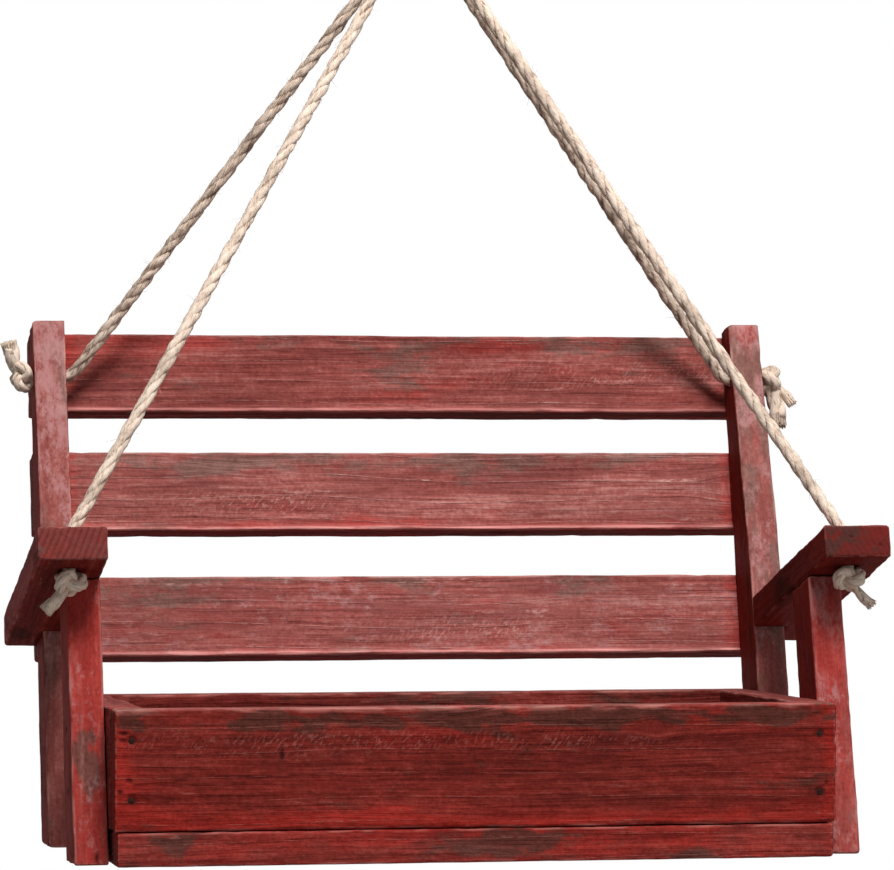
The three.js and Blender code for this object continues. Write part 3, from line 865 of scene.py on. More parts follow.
def make_knot(row, side, s, rope_path, material):
    """An overhand stopper knot drawn up against the wood, with its frayed cut ends."""
    into_hole = unit(rope_path[3] - rope_path[0])
    twist, rise, tails = KNOTS[row, side]
    middle = rope_path[0] - into_hole * KNOT_STANDOFF + np.array([0, 0, rise * MM])
    first = unit(np.cross(into_hole, [0, 0.3, 1]))
    second = np.cross(into_hole, first)

    t = np.linspace(0, FULL_TURN, 110, endpoint=False)
    across = KNOT_SIZE * (np.sin(t) + 2 * np.sin(2 * t))
    beside = KNOT_SIZE * (np.cos(t) - 2 * np.cos(2 * t))
    turned_across = math.cos(twist) * across - math.sin(twist) * beside
    turned_beside = math.sin(twist) * across + math.cos(twist) * beside
    line = middle + (np.outer(turned_across, first) + np.outer(turned_beside, second)
                     - np.outer(KNOT_DEPTH * np.sin(3 * t), into_hole))
    neck = smooth_path([rope_path[1], rope_path[0], middle], KNOT_STEP)
    seed = 61 + 3 * (s > 0) + 11 * (row == "back")
    tubes = Tubes()
    lay_strands(tubes, line, KNOT_ROPE_DIAMETER, seed, lay=24 * MM, closed=True)
    lay_strands(tubes, neck, KNOT_ROPE_DIAMETER, seed + 1, lay=30 * MM)
    for i, tail in enumerate(tails):
        make_tail(tubes, middle, into_hole, tail, seed + 100 * (i + 1))
    knot = tubes.build(f"stopper_{row}_{side}", material)
    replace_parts(knot, f"knot_{row}_{side}")
    return knot


def make_tail(tubes, middle, into_hole, tail, seed):
    """A cut end that leaves its knot round the side, and comes undone into a brush."""
    direction, length, width, splay = tail
    tip = middle + unit(np.array(direction)) * length * MM
    bulge = middle + 0.45 * (tip - middle) - into_hole * 1.4 * MM
    path = smooth_path([middle, bulge, 0.35 * bulge + 0.65 * tip], KNOT_STEP)
    opened = 0.30 * splay * MM * smoothstep(np.linspace(0, 1, len(path)), 0.45, 1)
    lay_strands(tubes, path, 0.94 * width * MM, seed, lay=42 * MM, opened=opened)
    root = path[-4]
    fray(tubes, root, path[-1] - root, np.linalg.norm(tip - root), 0.45 * width * MM, splay * MM,
         seed + 1, count=int(22 * width))


def make_loops(material):
    """Each rope's turn over the ring's lower wire."""
    for side, s in SIDES:
        centre = np.array([s * ROPE_SPACING / 2, 0, RING_HEIGHT - RING_RADIUS])
        angles = np.linspace(0, math.pi, 17)
        arc = [(0, -LOOP_RADIUS * math.cos(a), LOOP_RADIUS * math.sin(a)) for a in angles]
        down = [(0, ROPE_SPACING / 2, -0.0157), (0, ROPE_SPACING / 2, -0.0177)]
        up = [(x, -y, z) for x, y, z in down[::-1]]
        path = smooth_path(centre + np.array(up + arc + down), KNOT_STEP)
        tubes = Tubes()
        lay_strands(tubes, path, ROPE_DIAMETER, 91 + s, lay=34 * MM)
        loop = tubes.build(f"loop_{side}", material)
        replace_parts(loop, f"rope_loop_{side}")
        fuzz(path, 30, 95 + s, (1.4, 3.4), keep_off=centre).build(f"loop_{side}_hairs", material)


TWINE_DIAMETER = 2.5 * MM
TWINE_LAY = 11 * MM
TWINE_SIDES = 7
TWINE_TURNS = 9.2


def make_binding(material):
    """Twine wound tightly round all four ropes under the ring, and tucked in."""
    low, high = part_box("rope_binding")
    tubes = Tubes()
    wound = wind_twine(low[2], high[2], high[0] - 0.15 * MM)
    lay_strands(tubes, wound, TWINE_DIAMETER * 1.02, 71, lay=TWINE_LAY, sides=TWINE_SIDES)

    # the twine's end, tucked up under the last turns and poking out
    last = wound[-1]
    tuck = smooth_path([wound[-12], last, last + np.array([-0.5, 1.2, 2.6]) * MM,
                        last + np.array([-1.8, 1.7, 6.5]) * MM], 0.8 * MM)
    lay_strands(tubes, tuck, TWINE_DIAMETER * 0.92, 72, lay=TWINE_LAY, sides=TWINE_SIDES)
    fray(tubes, tuck[-3], tuck[-1] - tuck[-4], 5 * MM, 0.9 * MM, 0.9 * MM, 73, count=26)

    # the four ropes inside, seen between the turns
    heights = (high[2] + 1.2 * MM, (high[2] + low[2]) / 2, low[2] - 0.9 * MM)
    for sx in (-1, 1):
        for sy in (-1, 1):
            x, y = sx * ROPE_SPACING / 2, sy * ROPE_SPACING / 2
            inner = smooth_path([(x, y, z) for z in heights], ROPE_STEP)
            lay_strands(tubes, inner, ROPE_DIAMETER, 75 + sx + 2 * sy)
    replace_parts(tubes.build("binding_twine", material), "rope_binding")


def wind_twine(bottom, top, outside):
    """The path of the binding's turns: they press square on the ropes, and swell at the
    middle."""
    t = np.linspace(0, 1, int(TWINE_TURNS * 40))
    angle = FULL_TURN * TWINE_TURNS * t
    height = (top - 0.7 * TWINE_DIAMETER - (top - bottom - 1.4 * TWINE_DIAMETER) * t
              + 0.25 * MM * np.sin(angle * 0.37))
    squareness = 1 - 0.055 * (1 - np.cos(4 * angle)) / 2
    waist = 1 - 0.045 * np.abs(2 * t - 1) ** 2.5
    wobble = 1 + 0.012 * np.sin(3.3 * angle + 1)
    limit = outside - TWINE_DIAMETER / 2
    radius = np.minimum(limit * squareness * waist * wobble, limit)
    return np.stack([radius * np.cos(angle), radius * np.sin(angle), height], axis=1)


# ---- boards -------------------------------------------------------------------

class Board:
    """One piece of lumber. It takes its size, taper and the cut of its foot from its CAD
    node, in the frame that the node's edges run along. "Square" coordinates are those of
    the plain box that the board is warped from."""

    def __init__(self, name, lean, grain_axis):
        self.name = name
        self.turn = leaning(lean)
        self.grain_axis = grain_axis
        points = node_points(name) @ self.turn
        self.low, self.high = points.min(axis=0), points.max(axis=0)
        self.size = self.high - self.low
        self.middle = (self.low + self.high) / 2
        front = points[points[:, 1] < self.low[1] + ON_FACE]
        rear = points[points[:, 1] > self.high[1] - ON_FACE]
        top = points[points[:, 2] > self.high[2] - ON_FACE]
        self.top_front = top[:, 1].min()
        self.taper_start = front[:, 2].max()
        self.foot_front, self.foot_rear = front[:, 2].min(), rear[:, 2].min()

    def front_at(self, z):
        """y of the front face at a height."""
        rise = np.clip((z - self.taper_start) / max(self.high[2] - self.taper_start, MM), 0, 1)
        return self.low[1] + (self.top_front - self.low[1]) * rise

    def foot_at(self, y):
        """z of the foot at a depth."""
        share = (y - self.low[1]) / self.size[1]
        return self.foot_front + (self.foot_rear - self.foot_front) * share

    def warp(self, square):
        """From square coordinates to the board's frame."""
        local = square.copy()
        share = (self.high[1] - square[:, 1]) / self.size[1]
        local[:, 1] = self.high[1] - share * (self.high[1] - self.front_at(square[:, 2]))
        drop = (self.high[2] - square[:, 2]) / self.size[2]
        local[:, 2] = self.high[2] - drop * (self.high[2] - self.foot_at(local[:, 1]))
        return local

    def square(self, local):
        """From the board's frame back to square coordinates."""
        square = local.copy()
        drop = (self.high[2] - local[:, 2]) / (self.high[2] - self.foot_at(local[:, 1]))
        square[:, 2] = self.high[2] - drop * self.size[2]
        share = (self.high[1] - local[:, 1]) / (self.high[1] - self.front_at(square[:, 2]))
        square[:, 1] = self.high[1] - share * self.size[1]
        return square

    def on_front(self, square):
        """1 on the front face, and 0 on the others."""
        return smoothstep(self.low[1] - square[:, 1], -2.2 * MM, -0.9 * MM)

    def from_edge(self, square):
        """How far each point is from the nearest edge, for points on the faces."""
        gaps = np.minimum(square - self.low, self.high - square)
        return np.sort(np.maximum(gaps, 0), axis=1)[:, 1]

    def from_ends(self, square):
        """How far each point is from the nearer end of the grain."""
        return np.minimum(square - self.low, self.high - square)[:, self.grain_axis]


@dataclass
class Finish:
    """How one board was stained and has weathered. Places are shares of its sides, and
    sizes are in mm."""

    tone: float                  # of the front: 0 is deep red and 1 is pale pink; the backrest's paler tone is partly a painted sheen of light
    shaded_side_tone: float = None      # of the other faces, if it differs: painted shade, deeper than the front
    bare: float = 0.0            # how much has worn to grey wood
    rounding: float = 1.0        # radius of its edges
    figured: float = 1.0         # how strongly the grain shows
    fresh: float = 0.0           # how bright its ends and its foot are
    foot: float = 3.4            # how high the bright foot reaches
    flush: float = 0.0           # how bright the whole face is at least
    chalk: float = 0.0           # how much pale bloom it has
    top_highlight: float = 0.0           # tone of the top: a painted highlight of light from above
    lip: float = 0.0             # how far the wash has built up along the lower edge
    pith: tuple = (0.4, 1.8)     # the tree's heart, in board widths across and up
    patches: tuple = ()          # worn spots: place and size on three sides, and strength
    chatter: tuple = ()          # planer's marks: place along and up the front, and size
    marks: tuple = ()            # dark dents in the front: place, size and depth
    knots: tuple = ()            # eyes in the front that the grain runs round: place and size


BOARDS = {
    "front_panel": (HANG_TILT, ALONG_X, Finish(
        0.05, rounding=2.3, figured=0.75, fresh=1.3, flush=0.18, top_highlight=0.60, foot=7.0,
        patches=(((0.02, 0.0, 0.92), (9, 15, 7), 2.8), ((0.45, 0.0, 0.90), (80, 15, 6.5), 2.0),
                 ((0.70, 0.0, 0.90), (90, 15, 6.0), 2.0), ((0.94, 0.0, 0.90), (45, 15, 6), 1.4),
                 ((0.22, 0.0, 0.91), (40, 15, 5), 1.2), ((0.12, 0.0, 0.02), (22, 15, 4), 0.8)),
        chatter=(((0.25, 0.72), (120, 6.5)), ((0.60, 0.70), (60, 5.0))),
        marks=(((0.227, 0.62), (1.0, 3.8), 1.3), ((0.013, 0.80), (2.3, 1.0), 1.3),
               ((0.020, 0.41), (1.7, 1.2), 1.3), ((0.008, 0.32), (1.3, 1.4), 1.2),
               ((0.985, 0.33), (0.9, 1.4), 1.2), ((0.012, 0.745), (1.8, 0.9), 1.3)),
        knots=(((0.745, 0.80), (9, 6)),))),
    "rear_panel": (HANG_TILT, ALONG_X, Finish(0.12, bare=0.3, rounding=1.4, fresh=0.4, top_highlight=0.3)),
    "side_panel_left": (HANG_TILT, ALONG_Y, Finish(
        0.15, bare=0.2, rounding=1.2, fresh=0.4, top_highlight=0.5)),
    "side_panel_right": (HANG_TILT, ALONG_Y, Finish(
        0.15, bare=0.2, rounding=1.2, fresh=0.4, top_highlight=0.4)),
    "floor_board": (HANG_TILT, ALONG_X, Finish(
        0.16, bare=0.1, rounding=1.5, figured=0.8, fresh=0.7, flush=0.30,
        patches=(((0.085, 0.0, 0.45), (11, 15, 9), 2.2), ((0.52, 0.0, 0.72), (42, 15, 7), 2.4),
                 ((0.025, 0.0, 0.1), (9, 15, 8), 1.6), ((0.80, 0.0, 0.2), (16, 15, 6), 1.5)))),
    "front_leg_left": (SIDE_FRAME_LEAN, ALONG_Z, Finish(
        0.42, shaded_side_tone=0.0, rounding=1.7, figured=0.5, fresh=1.2, flush=0.80, chalk=0.24,
        patches=(((0.26, 0.0, 0.42), (6, 10, 12), 2.1), ((0.38, 0.0, 0.35), (6, 10, 11), 1.8),
                 ((0.56, 0.0, 0.27), (5, 10, 10), 1.3), ((0.84, 0.0, 0.10), (3, 10, 16), 1.5)),
        marks=(((0.66, 0.025), (1.1, 3.2), 1.2),))),
    "front_leg_right": (SIDE_FRAME_LEAN, ALONG_Z, Finish(
        0.62, shaded_side_tone=0.02, rounding=1.7, figured=0.5, fresh=0.75, flush=0.46, chalk=0.24)),
    "armrest_left": (SIDE_FRAME_LEAN, ALONG_Y, Finish(
        0.40, shaded_side_tone=0.03, bare=0.35, rounding=1.5, figured=0.8, top_highlight=0.4, pith=(2.6, -5.0))),
    "armrest_right": (SIDE_FRAME_LEAN, ALONG_Y, Finish(
        0.03, shaded_side_tone=0.0, bare=0.40, rounding=1.9, figured=0.15, fresh=0.1, top_highlight=0.4, pith=(1.1, 2.6),
        patches=(((0.10, 0.0, 0.25), (9, 6, 6), 1.5), ((0.55, 0.0, 0.50), (11, 6, 4), 1.0),
                 ((0.35, 0.0, 0.90), (9, 6, 3), 0.8), ((0.97, 0.0, 0.5), (4, 6, 9), -1.5)),
        marks=(((0.83, 0.36), (0.8, 0.9), 0.8), ((0.40, 0.62), (1.2, 0.8), 0.7)))),
    "back_post_left": (BACK_LEAN, ALONG_Z, Finish(
        0.90, shaded_side_tone=0.03, bare=0.6, rounding=2.3, figured=0.4, fresh=0.1, chalk=0.68,
        patches=(((0.6, 0.0, 0.95), (10, 20, 12), 1.0), ((0.5, 0.0, 0.75), (12, 20, 25), -1.2)))),
    "back_post_right": (BACK_LEAN, ALONG_Z, Finish(
        0.85, shaded_side_tone=0.03, bare=1.1, rounding=2.3, figured=0.3, chalk=0.58,
        patches=(((0.4, 0.0, 0.87), (10, 20, 24), 1.3), ((0.5, 0.0, 0.985), (14, 20, 6), -2.6),
                 ((0.5, 0.0, 0.50), (14, 20, 60), -0.5)))),
    "back_slat_top": (BACK_LEAN, ALONG_X, Finish(
        0.60, shaded_side_tone=0.03, rounding=1.5, fresh=0.5, lip=0.35,
        patches=(((0.5, 0.0, 1.0), (900, 20, 11), 0.8),), chatter=(((0.80, 0.50), (90, 9.0)),))),
    "back_slat_middle": (BACK_LEAN, ALONG_X, Finish(
        0.90, shaded_side_tone=0.03, rounding=1.5, fresh=1.0, lip=0.35,
        patches=(((0.5, 0.0, 1.0), (900, 20, 14), 1.0),), chatter=(((0.30, 0.35), (60, 8.0)),),
        knots=(((0.955, 0.55), (15, 9)),))),
    "back_slat_bottom": (BACK_LEAN, ALONG_X, Finish(
        1.0, shaded_side_tone=0.03, rounding=1.5, figured=0.85, fresh=0.9, flush=0.20, chalk=0.34, lip=0.30,
        patches=(((0.4, 0.0, 1.0), (260, 20, 14), 1.0), ((0.9, 0.0, 0.6), (80, 20, 20), -0.8)),
        chatter=(((0.60, 0.30), (60, 8.0)),), knots=(((0.18, 0.45), (10, 5)),))),
}

# How finely the boards' surfaces are divided: along the grain and across it, and closer
# together near the ends and beside nails and marks.
STEP_ALONG_GRAIN = 6 * MM
STEP_ACROSS_GRAIN = 3.4 * MM
SMALLEST_STEP = 0.12 * MM
STEPS_AT_END = (0, 0.25, 0.6, 1.1, 1.8, 3.0, 5.0)                # mm
STEPS_AT_SPOT = (-4, -2.6, -1.6, -0.6, 0, 0.6, 1.6, 2.6, 4)      # mm


def lattice_steps(low, high, spacing, spots):
    """Positions along one side of a board: close together near its ends and its spots."""
    length = high - low
    near = [step * MM for step in STEPS_AT_END if step * MM < 0.4 * length]
    count = max(1, int(round((length - 2 * near[-1]) / spacing)))
    inner = np.linspace(low + near[-1], high - near[-1], count + 1)
    steps = [low + step for step in near] + list(inner) + [high - step for step in near]
    for place in spots:
        steps += [place + step * MM for step in STEPS_AT_SPOT]
    kept = [low]
    for step in sorted(step for step in steps if low <= step <= high):
        if step - kept[-1] > SMALLEST_STEP:
            kept.append(step)
    kept[-1] = high
    return np.array(kept)


def box_surface(xs, ys, zs):
    """The surface of a box as quads, from positions along its three sides."""
    counts = (len(xs), len(ys), len(zs))
    strides = np.array([1, counts[0], counts[0] * counts[1]])
    quads = []
    for axis in range(3):
        a, b = (axis + 1) % 3, (axis + 2) % 3
        i, j = np.meshgrid(np.arange(counts[a] - 1), np.arange(counts[b] - 1), indexing="ij")
        for end in (0, counts[axis] - 1):
            corners = []
            for da, db in ((0, 0), (1, 0), (1, 1), (0, 1)):
                index = np.zeros((i.size, 3), dtype=int)
                index[:, axis] = end
                index[:, a] = i.ravel() + da
                index[:, b] = j.ravel() + db
                corners.append(index @ strides)
            quads.append(np.stack(corners if end else corners[::-1], axis=1))
    used, faces = np.unique(np.vstack(quads), return_inverse=True)
    points = np.stack([xs[used % counts[0]], ys[used // counts[0] % counts[1]],
                       zs[used // (counts[0] * counts[1])]], axis=1)
    return points, faces.reshape(-1, 4)


def nail_place(name):
    """The middle of a nail's head, and the direction that the head faces."""
    points = node_points(name)
    middle = points.mean(axis=0)
    axis = np.linalg.svd(points - middle)[2][0]
    along = (points - middle) @ axis
    radius = np.linalg.norm(points - middle - along[:, None] * axis, axis=1)
    if along[radius.argmax()] < 0:
        axis, along = -axis, -along
    face = points[along > along.max() - 0.1 * MM]
    return face.mean(axis=0), axis


def nails_in(board, nails):
    """The nails whose heads lie in the board's faces: place, axis and position of the face."""
    found = []
    for place, facing in nails:
        local, direction = place @ board.turn, facing @ board.turn
        axis = int(np.abs(direction).argmax())
        face = board.high[axis] if direction[axis] > 0 else board.low[axis]
        inside = all(board.low[k] < local[k] < board.high[k] for k in range(3) if k != axis)
        if inside and abs(local[axis] - face) < 1.2 * MM:
            found.append((local, axis, face))
    return found


def beside_nail(points, nail):
    """How far points are from a nail across its face; far away when off the face."""
    local, axis, face = nail
    apart = points - local
    apart[:, axis] = np.where(np.abs(points[:, axis] - face) < 1.5 * MM, 0, 1)
    return np.linalg.norm(apart, axis=1)


def board_mesh(board, nails, finish, seed):
    """The board's surface: rounded, uneven edges, dents, and a dimple at each nail."""
    spots = [[nail[0][k] for nail in nails if nail[1] != k] for k in range(3)]
    for (along, up), _, _ in finish.marks:
        spots[0].append(board.low[0] + along * board.size[0])
        spots[2].append(board.low[2] + up * board.size[2])
    spacing = [STEP_ACROSS_GRAIN] * 3
    spacing[board.grain_axis] = STEP_ALONG_GRAIN
    steps = [lattice_steps(board.low[k], board.high[k], spacing[k], spots[k]) for k in range(3)]
    points, faces = box_surface(*steps)

    radius = 1 + 0.45 * ripple(points, 0.05, seed) + 0.35 * ripple(points, 0.011, seed + 1)
    radius = np.clip(radius * finish.rounding * MM, 0.35 * MM, 2.9 * MM)[:, None]
    core = np.clip(points, board.low + radius, board.high - radius)
    outward = points - core
    outward /= np.linalg.norm(outward, axis=1, keepdims=True)

    sunk = (0.07 * MM * (1 + ripple(points, 0.09, seed + 2))
            + 0.04 * MM * (1 + ripple(points, 0.016, seed + 3)))
    rng = np.random.default_rng(seed + 4)
    by_edge = np.flatnonzero(board.from_edge(points) < 4 * MM)
    for place in points[rng.choice(by_edge, 12)]:
        width = rng.uniform(1.5, 4.5) * MM
        sunk += rng.uniform(0.1, 0.5) * MM * np.exp(-(np.linalg.norm(points - place, axis=1) / width) ** 2)
    for nail in nails:
        sunk += 0.45 * MM * np.exp(-(beside_nail(points, nail) / (2.3 * MM)) ** 4)
    sunk -= finish.lip * MM * lip_profile(board, points, seed)
    rounded = core + (radius - sunk[:, None]) * outward
    return board.warp(rounded) @ board.turn.T, faces


def lip_profile(board, square, seed):
    """1 along the crest of the uneven lip of stain on a board's lower front edge."""
    above = (square[:, 2] - board.low[2]) / MM - 1.5 - 0.3 * ripple(square, 0.045, seed + 10)
    uneven = 0.82 + 0.18 * ripple(square, 0.030, seed + 11)
    return np.exp(-above ** 2) * board.on_front(square) * uneven


def cut_with(obj, vertices, faces):
    """Takes a closed body away from an object."""
    cutter = new_object("cutter", new_mesh("cutter", vertices, faces))
    body = bmesh.new()
    body.from_mesh(cutter.data)
    bmesh.ops.recalc_face_normals(body, faces=body.faces)
    body.to_mesh(cutter.data)
    body.free()
    modifier = obj.modifiers.new("cut", "BOOLEAN")
    modifier.operation = "DIFFERENCE"
    modifier.solver = "EXACT"
    modifier.object = cutter
    graph = bpy.context.evaluated_depsgraph_get()
    result = bpy.data.meshes.new_from_object(obj.evaluated_get(graph))
    obj.modifiers.clear()
    obj.data = result
    bpy.data.objects.remove(cutter)


def notch_for_post(obj, board):
    """Cuts away the armrest's inner rear corner, where the back post passes. The corner's
    walls are read off the CAD node."""
    points = node_points(board.name) @ board.turn
    rear = points[points[:, 1] > board.high[1] - ON_FACE]
    side = 1 if board.low[0] > 0 else -1
    wall = side * np.abs(rear[:, 0]).min()
    inner = side * (np.abs(board.middle[0]) - board.size[0])
    behind = points[points[:, 1] > board.middle[1]]
    front = [behind[np.abs(behind[:, 2] - level) < ON_FACE][:, 1].min()
             for level in (board.low[2], board.high[2])]
    slope = (front[1] - front[0]) / board.size[2]
    past = 10 * MM
    rear_y = board.high[1] + past
    corners = []
    for z, y in ((board.low[2] - past, front[0] - slope * past),
                 (board.high[2] + past, front[1] + slope * past)):
        corners += [(inner, y, z), (wall, y, z), (wall, rear_y, z), (inner, rear_y, z)]
    cut_with(obj, np.array(corners) @ board.turn.T, shell(2, 4))


def drill(obj, board, place, axis):
    """Cuts a rope hole with worn, rounded mouths right through a board, along one of its
    axes and through a place in its frame."""
    radius = ROPE_HOLE_DIAMETER / 2
    half = board.size[axis] / 2
    mouth = [(radius + wider * MM, half + out * MM) for out, wider in HOLE_MOUTH]
    profile = [(wide, -along) for wide, along in mouth] + mouth[::-1]
    cut_with(obj, *revolve(profile, 40, np.array(place) @ board.turn.T, board.turn[:, axis]))


def spot(board, share, place, reach):
    """1 at a place on the front and less around it. The place is shares of the length and
    the height, and reach is how far the spot goes along and up, in mm."""
    away = (share[:, [0, 2]] - place) * board.size[[0, 2]] / (np.array(reach) * MM)
    return np.exp(-(away ** 2).sum(axis=1))


def grain_and_rings(board, finish, local, share, seed):
    """Coordinates with X along the grain, bent round the knots, and the distance from the
    pith."""
    order = [board.grain_axis, (board.grain_axis + 1) % 3, (board.grain_axis + 2) % 3]
    grain = (local - board.low)[:, order]
    wide = max(board.size[order[1]], board.size[order[2]])
    along = grain * (1, 0, 0)
    drift = np.stack([ripple(along, 0.30, seed + 5), ripple(along, 0.22, seed + 6)], axis=1)
    rings = np.linalg.norm(grain[:, 1:] - np.array(finish.pith) * wide - 2.2 * MM * drift, axis=1)
    # only boards with their grain along X have knots, and the first vertex is on the front
    for place, reach in finish.knots:
        across = grain - np.array([place[0], share[0, 1], place[1]]) * board.size
        across[:, 0] = 0
        grain = grain - 0.85 * across * spot(board, share, place, reach)[:, None]
    return grain + seed * np.array([0.73, 0.41, 0.57]), rings


def tone_over(board, finish, square):
    # The other faces may take a deeper tone than the front: painted shade on the sides.
    shaded_side_tone = finish.tone if finish.shaded_side_tone is None else finish.shaded_side_tone
    tone = shaded_side_tone + (finish.tone - shaded_side_tone) * board.on_front(square)
    if board.grain_axis != ALONG_Z:
        # a painted highlight along the top, where light from above falls on it
        on_top = smoothstep(square[:, 2] - board.high[2], -1.7 * MM, -0.5 * MM)
        tone = np.maximum(tone, finish.top_highlight * on_top)
    return tone


def worn_over(board, finish, local, share, mostly_front, seed):
    """How far the wash has worn off: a little all over, and more in ragged patches."""
    bare = finish.bare * mostly_front
    ragged = np.stack([3.2 * ripple(local, 0.016, seed + k) + 1.4 * ripple(local, 0.006, seed + k + 3)
                       for k in (7, 8, 9)], axis=1) * MM
    for place, reach, strength in finish.patches:
        away = ((share - np.array(place)) * board.size + ragged) / (np.array(reach) * MM)
        bare += strength * np.exp(-(away ** 2).sum(axis=1))
    return bare


def fresh_over(board, finish, square, mostly_front):
    """How thick the wash lies: it does near the foot and near the ends."""
    ends = board.from_ends(square)
    near_foot = np.exp(-np.maximum(square[:, 2] - board.low[2], 0) / (finish.foot * MM))
    near_end = np.exp(-np.maximum(ends, 0) / (9 * MM))
    if board.name.startswith("back_slat"):
        # the slats' ends lie behind the posts, and the wash is thick beside those
        near_end = np.exp(-((ends - BOARD_THICKNESS) / (6 * MM)) ** 2)
    # mostly on the front, so the other faces stay deep: painted shade on the sides
    return np.maximum(finish.flush, finish.fresh * np.maximum(near_foot, 0.8 * near_end)) * mostly_front


def chalk_over(board, finish, local, share, on_front, seed):
    bloom_share = np.clip(0.75 + 0.6 * ripple(local, 0.040, seed + 14), 0, 1)
    if board.name.startswith("back_post"):
        # less bloom low on the back posts, which keeps their lower parts deep: painted shade under the
        # seat and armrests
        bloom_share = bloom_share * smoothstep(share[:, 2], 0.2, 0.5)
    return finish.chalk * on_front * bloom_share


def stain_over(board, finish, nails, square, share, on_front):
    """Dark stain round the nails and in the marks."""
    stain = np.zeros(len(square))
    for nail in nails:
        stain = np.maximum(stain, np.exp(-(beside_nail(square, nail) / (2.6 * MM)) ** 2))
    for place, reach, depth in finish.marks:
        dent = np.minimum(depth * spot(board, share, place, reach), 1)
        stain = np.maximum(stain, on_front * dent)
    return stain


def edge_over(board, finish, square):
    """Distance from the nearest edge, in mm. Next to a top with a strong painted highlight it counts as
    nearer one, which widens the painted highlight on that edge.
    """
    by_top = smoothstep(square[:, 2] - board.high[2], -7 * MM, -4 * MM) * (finish.top_highlight > 0.5)
    return np.minimum(board.from_edge(square) / MM * (1 - 0.5 * by_top), 15)


def paint(mesh, board, finish, nails, seed):
    """Stores on the mesh what the wood's material reads."""
    local = vertices_of(mesh) @ board.turn
    square = board.square(local)
    share = (local - board.low) / board.size
    on_front = board.on_front(square)
    # The thick wash and the worn patches lie mostly on the front, which keeps the other faces deep:
    # painted shade on the sides.
    mostly_front = 0.3 + 0.7 * on_front
    grain, rings = grain_and_rings(board, finish, local, share, seed)
    chatter = np.zeros(len(local))
    for place, reach in finish.chatter:
        chatter = np.maximum(chatter, spot(board, share, place, reach))
    fields = {
        "grain": grain,
        "rings": rings / MM,
        "edge": edge_over(board, finish, square),
        "end_grain": smoothstep(-board.from_ends(square), -0.9 * MM, -0.35 * MM),
        "tone": tone_over(board, finish, square),
        "bare": worn_over(board, finish, local, share, mostly_front, seed),
        "fresh": fresh_over(board, finish, square, mostly_front),
        "chalk": chalk_over(board, finish, local, share, on_front, seed),
        "lip": (finish.lip > 0) * lip_profile(board, square, seed),
        "figured": np.full(len(local), finish.figured),
        "chatter": chatter,
        "stain": stain_over(board, finish, nails, square, share, on_front),
    }
    for name, values in fields.items():
        store(mesh, name, values)


def make_boards(material):
    nails = [nail_place(name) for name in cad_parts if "_nail_" in name]
    for i, (name, (lean, grain_axis, finish)) in enumerate(BOARDS.items()):
        board = Board(name, lean, grain_axis)
        own_nails = nails_in(board, nails)
        seed = 20 * (i + 1)
        vertices, faces = board_mesh(board, own_nails, finish, seed)
        obj = make_piece(f"lumber_{name}", vertices, faces.tolist(), material, "swing")
        x, _, z = board.middle
        if name.startswith("armrest"):
            notch_for_post(obj, board)
            drill(obj, board, (x, board.low[1] + ARM_HOLE_SETBACK, z), ALONG_Z)
        if name.startswith("back_post"):
            z = board.high[2] - POST_HOLE_DROP
            drill(obj, board, (x, (board.front_at(z) + board.high[1]) / 2, z), ALONG_X)
        paint(obj.data, board, finish, own_nails, seed)
        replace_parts(obj, name)


# ---- nails, ring and hook -----------------------------------------------------

# Profiles as radius and height, in mm. The nail's runs from under its head to the top, and
# its heights are from NAIL_SINK under the face of the wood.
NAIL_HEAD = (
    (0.90, -1.2), (1.25, -0.82), (1.85, -0.72), (2.05, -0.52), (2.06, -0.34), (1.86, -0.13),
    (1.45, 0.03), (0.75, 0.13), (0.01, 0.16),
)
NAIL_SINK = 0.34
NAIL_POINT = ((0.05, 0.1), (0.45, 1.0), (0.88, 2.6))    # heights above the tip
COLLAR = (
    (0.1, -1.62), (5.6, -1.62), (6.25, -1.35), (6.48, -1.0), (6.48, -0.35), (6.2, -0.05), (0.1, -0.02),
)


def make_nails(material):
    """A domed head, hammered just below the wood, on a plain shank."""
    for i, name in enumerate(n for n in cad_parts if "_nail_" in n):
        place, facing = nail_place(name)
        rng = np.random.default_rng(200 + i)
        length = float(np.ptp((node_points(name) - place) @ facing))
        shank = [(r * MM, (-length / MM + h) * MM) for r, h in NAIL_POINT]
        head = [(r * MM, (h - NAIL_SINK) * MM) for r, h in NAIL_HEAD]
        tilt = facing + rng.normal(size=3) * 0.02
        vertices, faces = revolve(shank + head, 24, place, tilt)
        near = np.linalg.norm(vertices - place, axis=1) < 2.6 * MM
        vertices[near] += np.outer(ripple(vertices, 2.4 * MM, 300 + i)[near] * 0.05 * MM, facing)
        nail = make_piece(f"nail_{name}", vertices, faces, material, "swing")
        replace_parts(nail, name)


def make_ring(material):
    """A ring of round wire, with the slight swelling of its weld at one side."""
    angles = np.linspace(0, FULL_TURN, 120, endpoint=False)
    path = np.stack([RING_RADIUS * np.cos(angles), 0 * angles,
                     RING_HEIGHT + RING_RADIUS * np.sin(angles)], axis=1)
    from_weld = np.abs((angles - 0.35 + math.pi) % FULL_TURN - math.pi) * RING_RADIUS
    swelling = 0.015 * np.exp(-(from_weld / (1.6 * MM)) ** 2)
    groove = 0.03 * np.exp(-((from_weld - 2.6 * MM) / (0.7 * MM)) ** 2)
    vertices, faces = wire(path, WIRE_RADIUS * (0.985 + swelling - groove), closed=True)
    ring = make_piece("ring_wire", vertices, faces, material, "ring")
    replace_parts(ring, "hanging_ring")


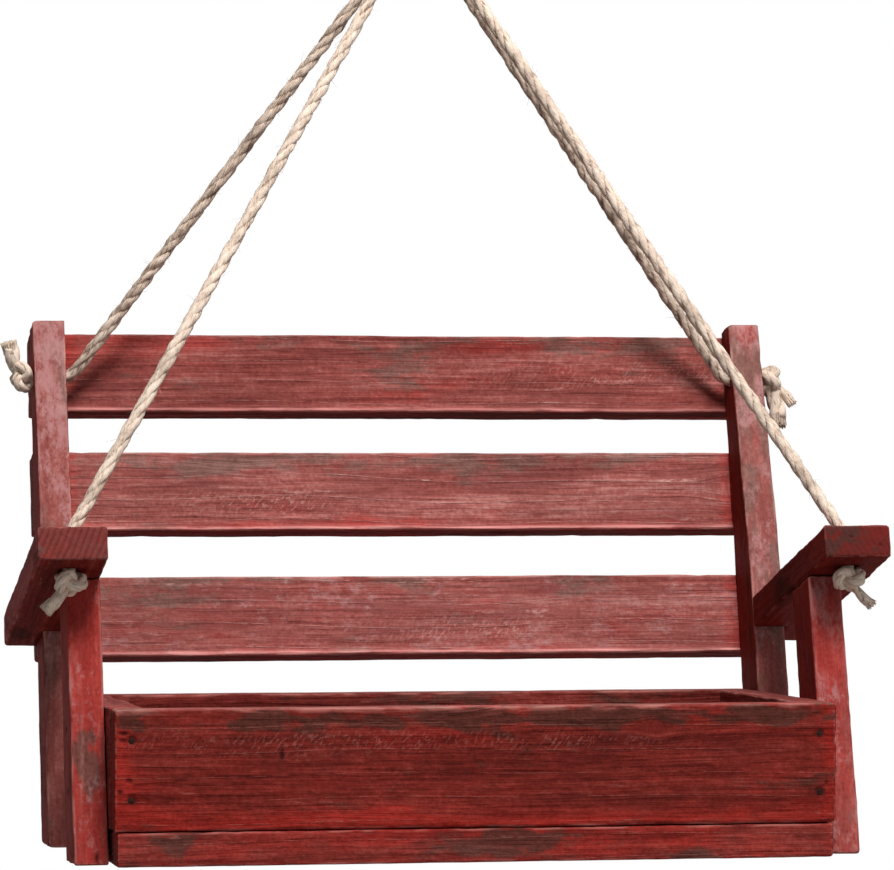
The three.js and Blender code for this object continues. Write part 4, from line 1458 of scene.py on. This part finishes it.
def hook_wire():
    """The stem, a shoulder that swings out from it, and the bowl, with a rounded tip."""
    bowl_radius, shoulder_radius, stem = 13 * MM, 5 * MM, 8 * MM
    tip_length = 2 * MM
    step, bowl_end = math.radians(4), math.radians(250)
    reach = bowl_radius + shoulder_radius
    start = math.asin(shoulder_radius / reach)
    bowl_centre = -stem - math.sqrt(reach ** 2 - shoulder_radius ** 2)
    path = [(0, 0, -0.8 * MM)]
    for a in np.arange(0, math.pi / 2 - start, step):
        path.append((0, shoulder_radius * (1 - math.cos(a)), -stem - shoulder_radius * math.sin(a)))
    for a in np.arange(start, bowl_end + step / 2, step):
        path.append((0, bowl_radius * math.sin(a), bowl_centre + bowl_radius * math.cos(a)))
    path = smooth_path(path, 0.9 * MM)
    travelled = travelled_along(path)
    left = travelled[-1] - travelled
    rounded = np.sqrt(np.clip(1 - (1 - left / tip_length) ** 2, 0.02, 1))
    return wire(path, WIRE_RADIUS * np.where(left < tip_length, rounded, 1))


def screw_thread():
    """A wood screw: a core with a helical ridge, tapering to a gimlet point. It is nearly
    full width below the thread."""
    length, taper, pitch, sides = 24 * MM, 7 * MM, 2.2 * MM, 36
    ridge_half, plain_length = 0.26, 1.5 * MM
    heights = np.arange(-0.8 * MM, length - 0.05 * MM, pitch / 12)
    vertices = []
    for height in heights:
        narrowing = min(1, (length - height) / taper)
        core = 0.78 if height > plain_length else 0.98
        for k in range(sides):
            share = (height / pitch - k / sides) % 1
            ridge = max(0, 1 - abs(share - 0.5) / ridge_half)
            radius = WIRE_RADIUS * narrowing * (core + (0.995 - core) * ridge)
            angle = FULL_TURN * k / sides
            vertices.append((radius * math.cos(angle), radius * math.sin(angle), height))
    # the last ring closes on the point, in place of a flat end
    *faces, top = shell(len(heights), sides)
    faces += [(top[k], top[(k + 1) % sides], len(vertices)) for k in range(sides)]
    vertices.append((0, 0, length - 0.02 * MM))
    return vertices, faces


def make_hook(material):
    """A screw hook: its bowl in the YZ plane, a chamfered collar against the ceiling, and
    a threaded screw above it."""
    collar = revolve(np.array(COLLAR) * MM, 48, (0, 0, 0), (0, 0, 1))
    vertices, faces = joined([hook_wire(), collar, screw_thread()])
    hook = make_piece("hook_screw", vertices, faces, material, "hook")
    hook.data.set_sharp_from_angle(angle=math.radians(38))
    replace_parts(hook, "ceiling_hook")


# ---- making -------------------------------------------------------------------

make_camera()
make_room()
make_lamps()
make_floor()

jute_rope = jute("jute_rope", -0.115)
# The back ropes take a darker copy of the jute: painted shade.
make_ropes(jute_rope, jute("shaded_jute_rope", -0.170))
make_loops(jute_rope)
make_binding(jute_rope)
make_boards(red_wood())
make_nails(rusty_nail())
steel = zinc()
make_ring(steel)
make_hook(steel)

bpy.context.scene.view_settings.view_transform = "Standard"
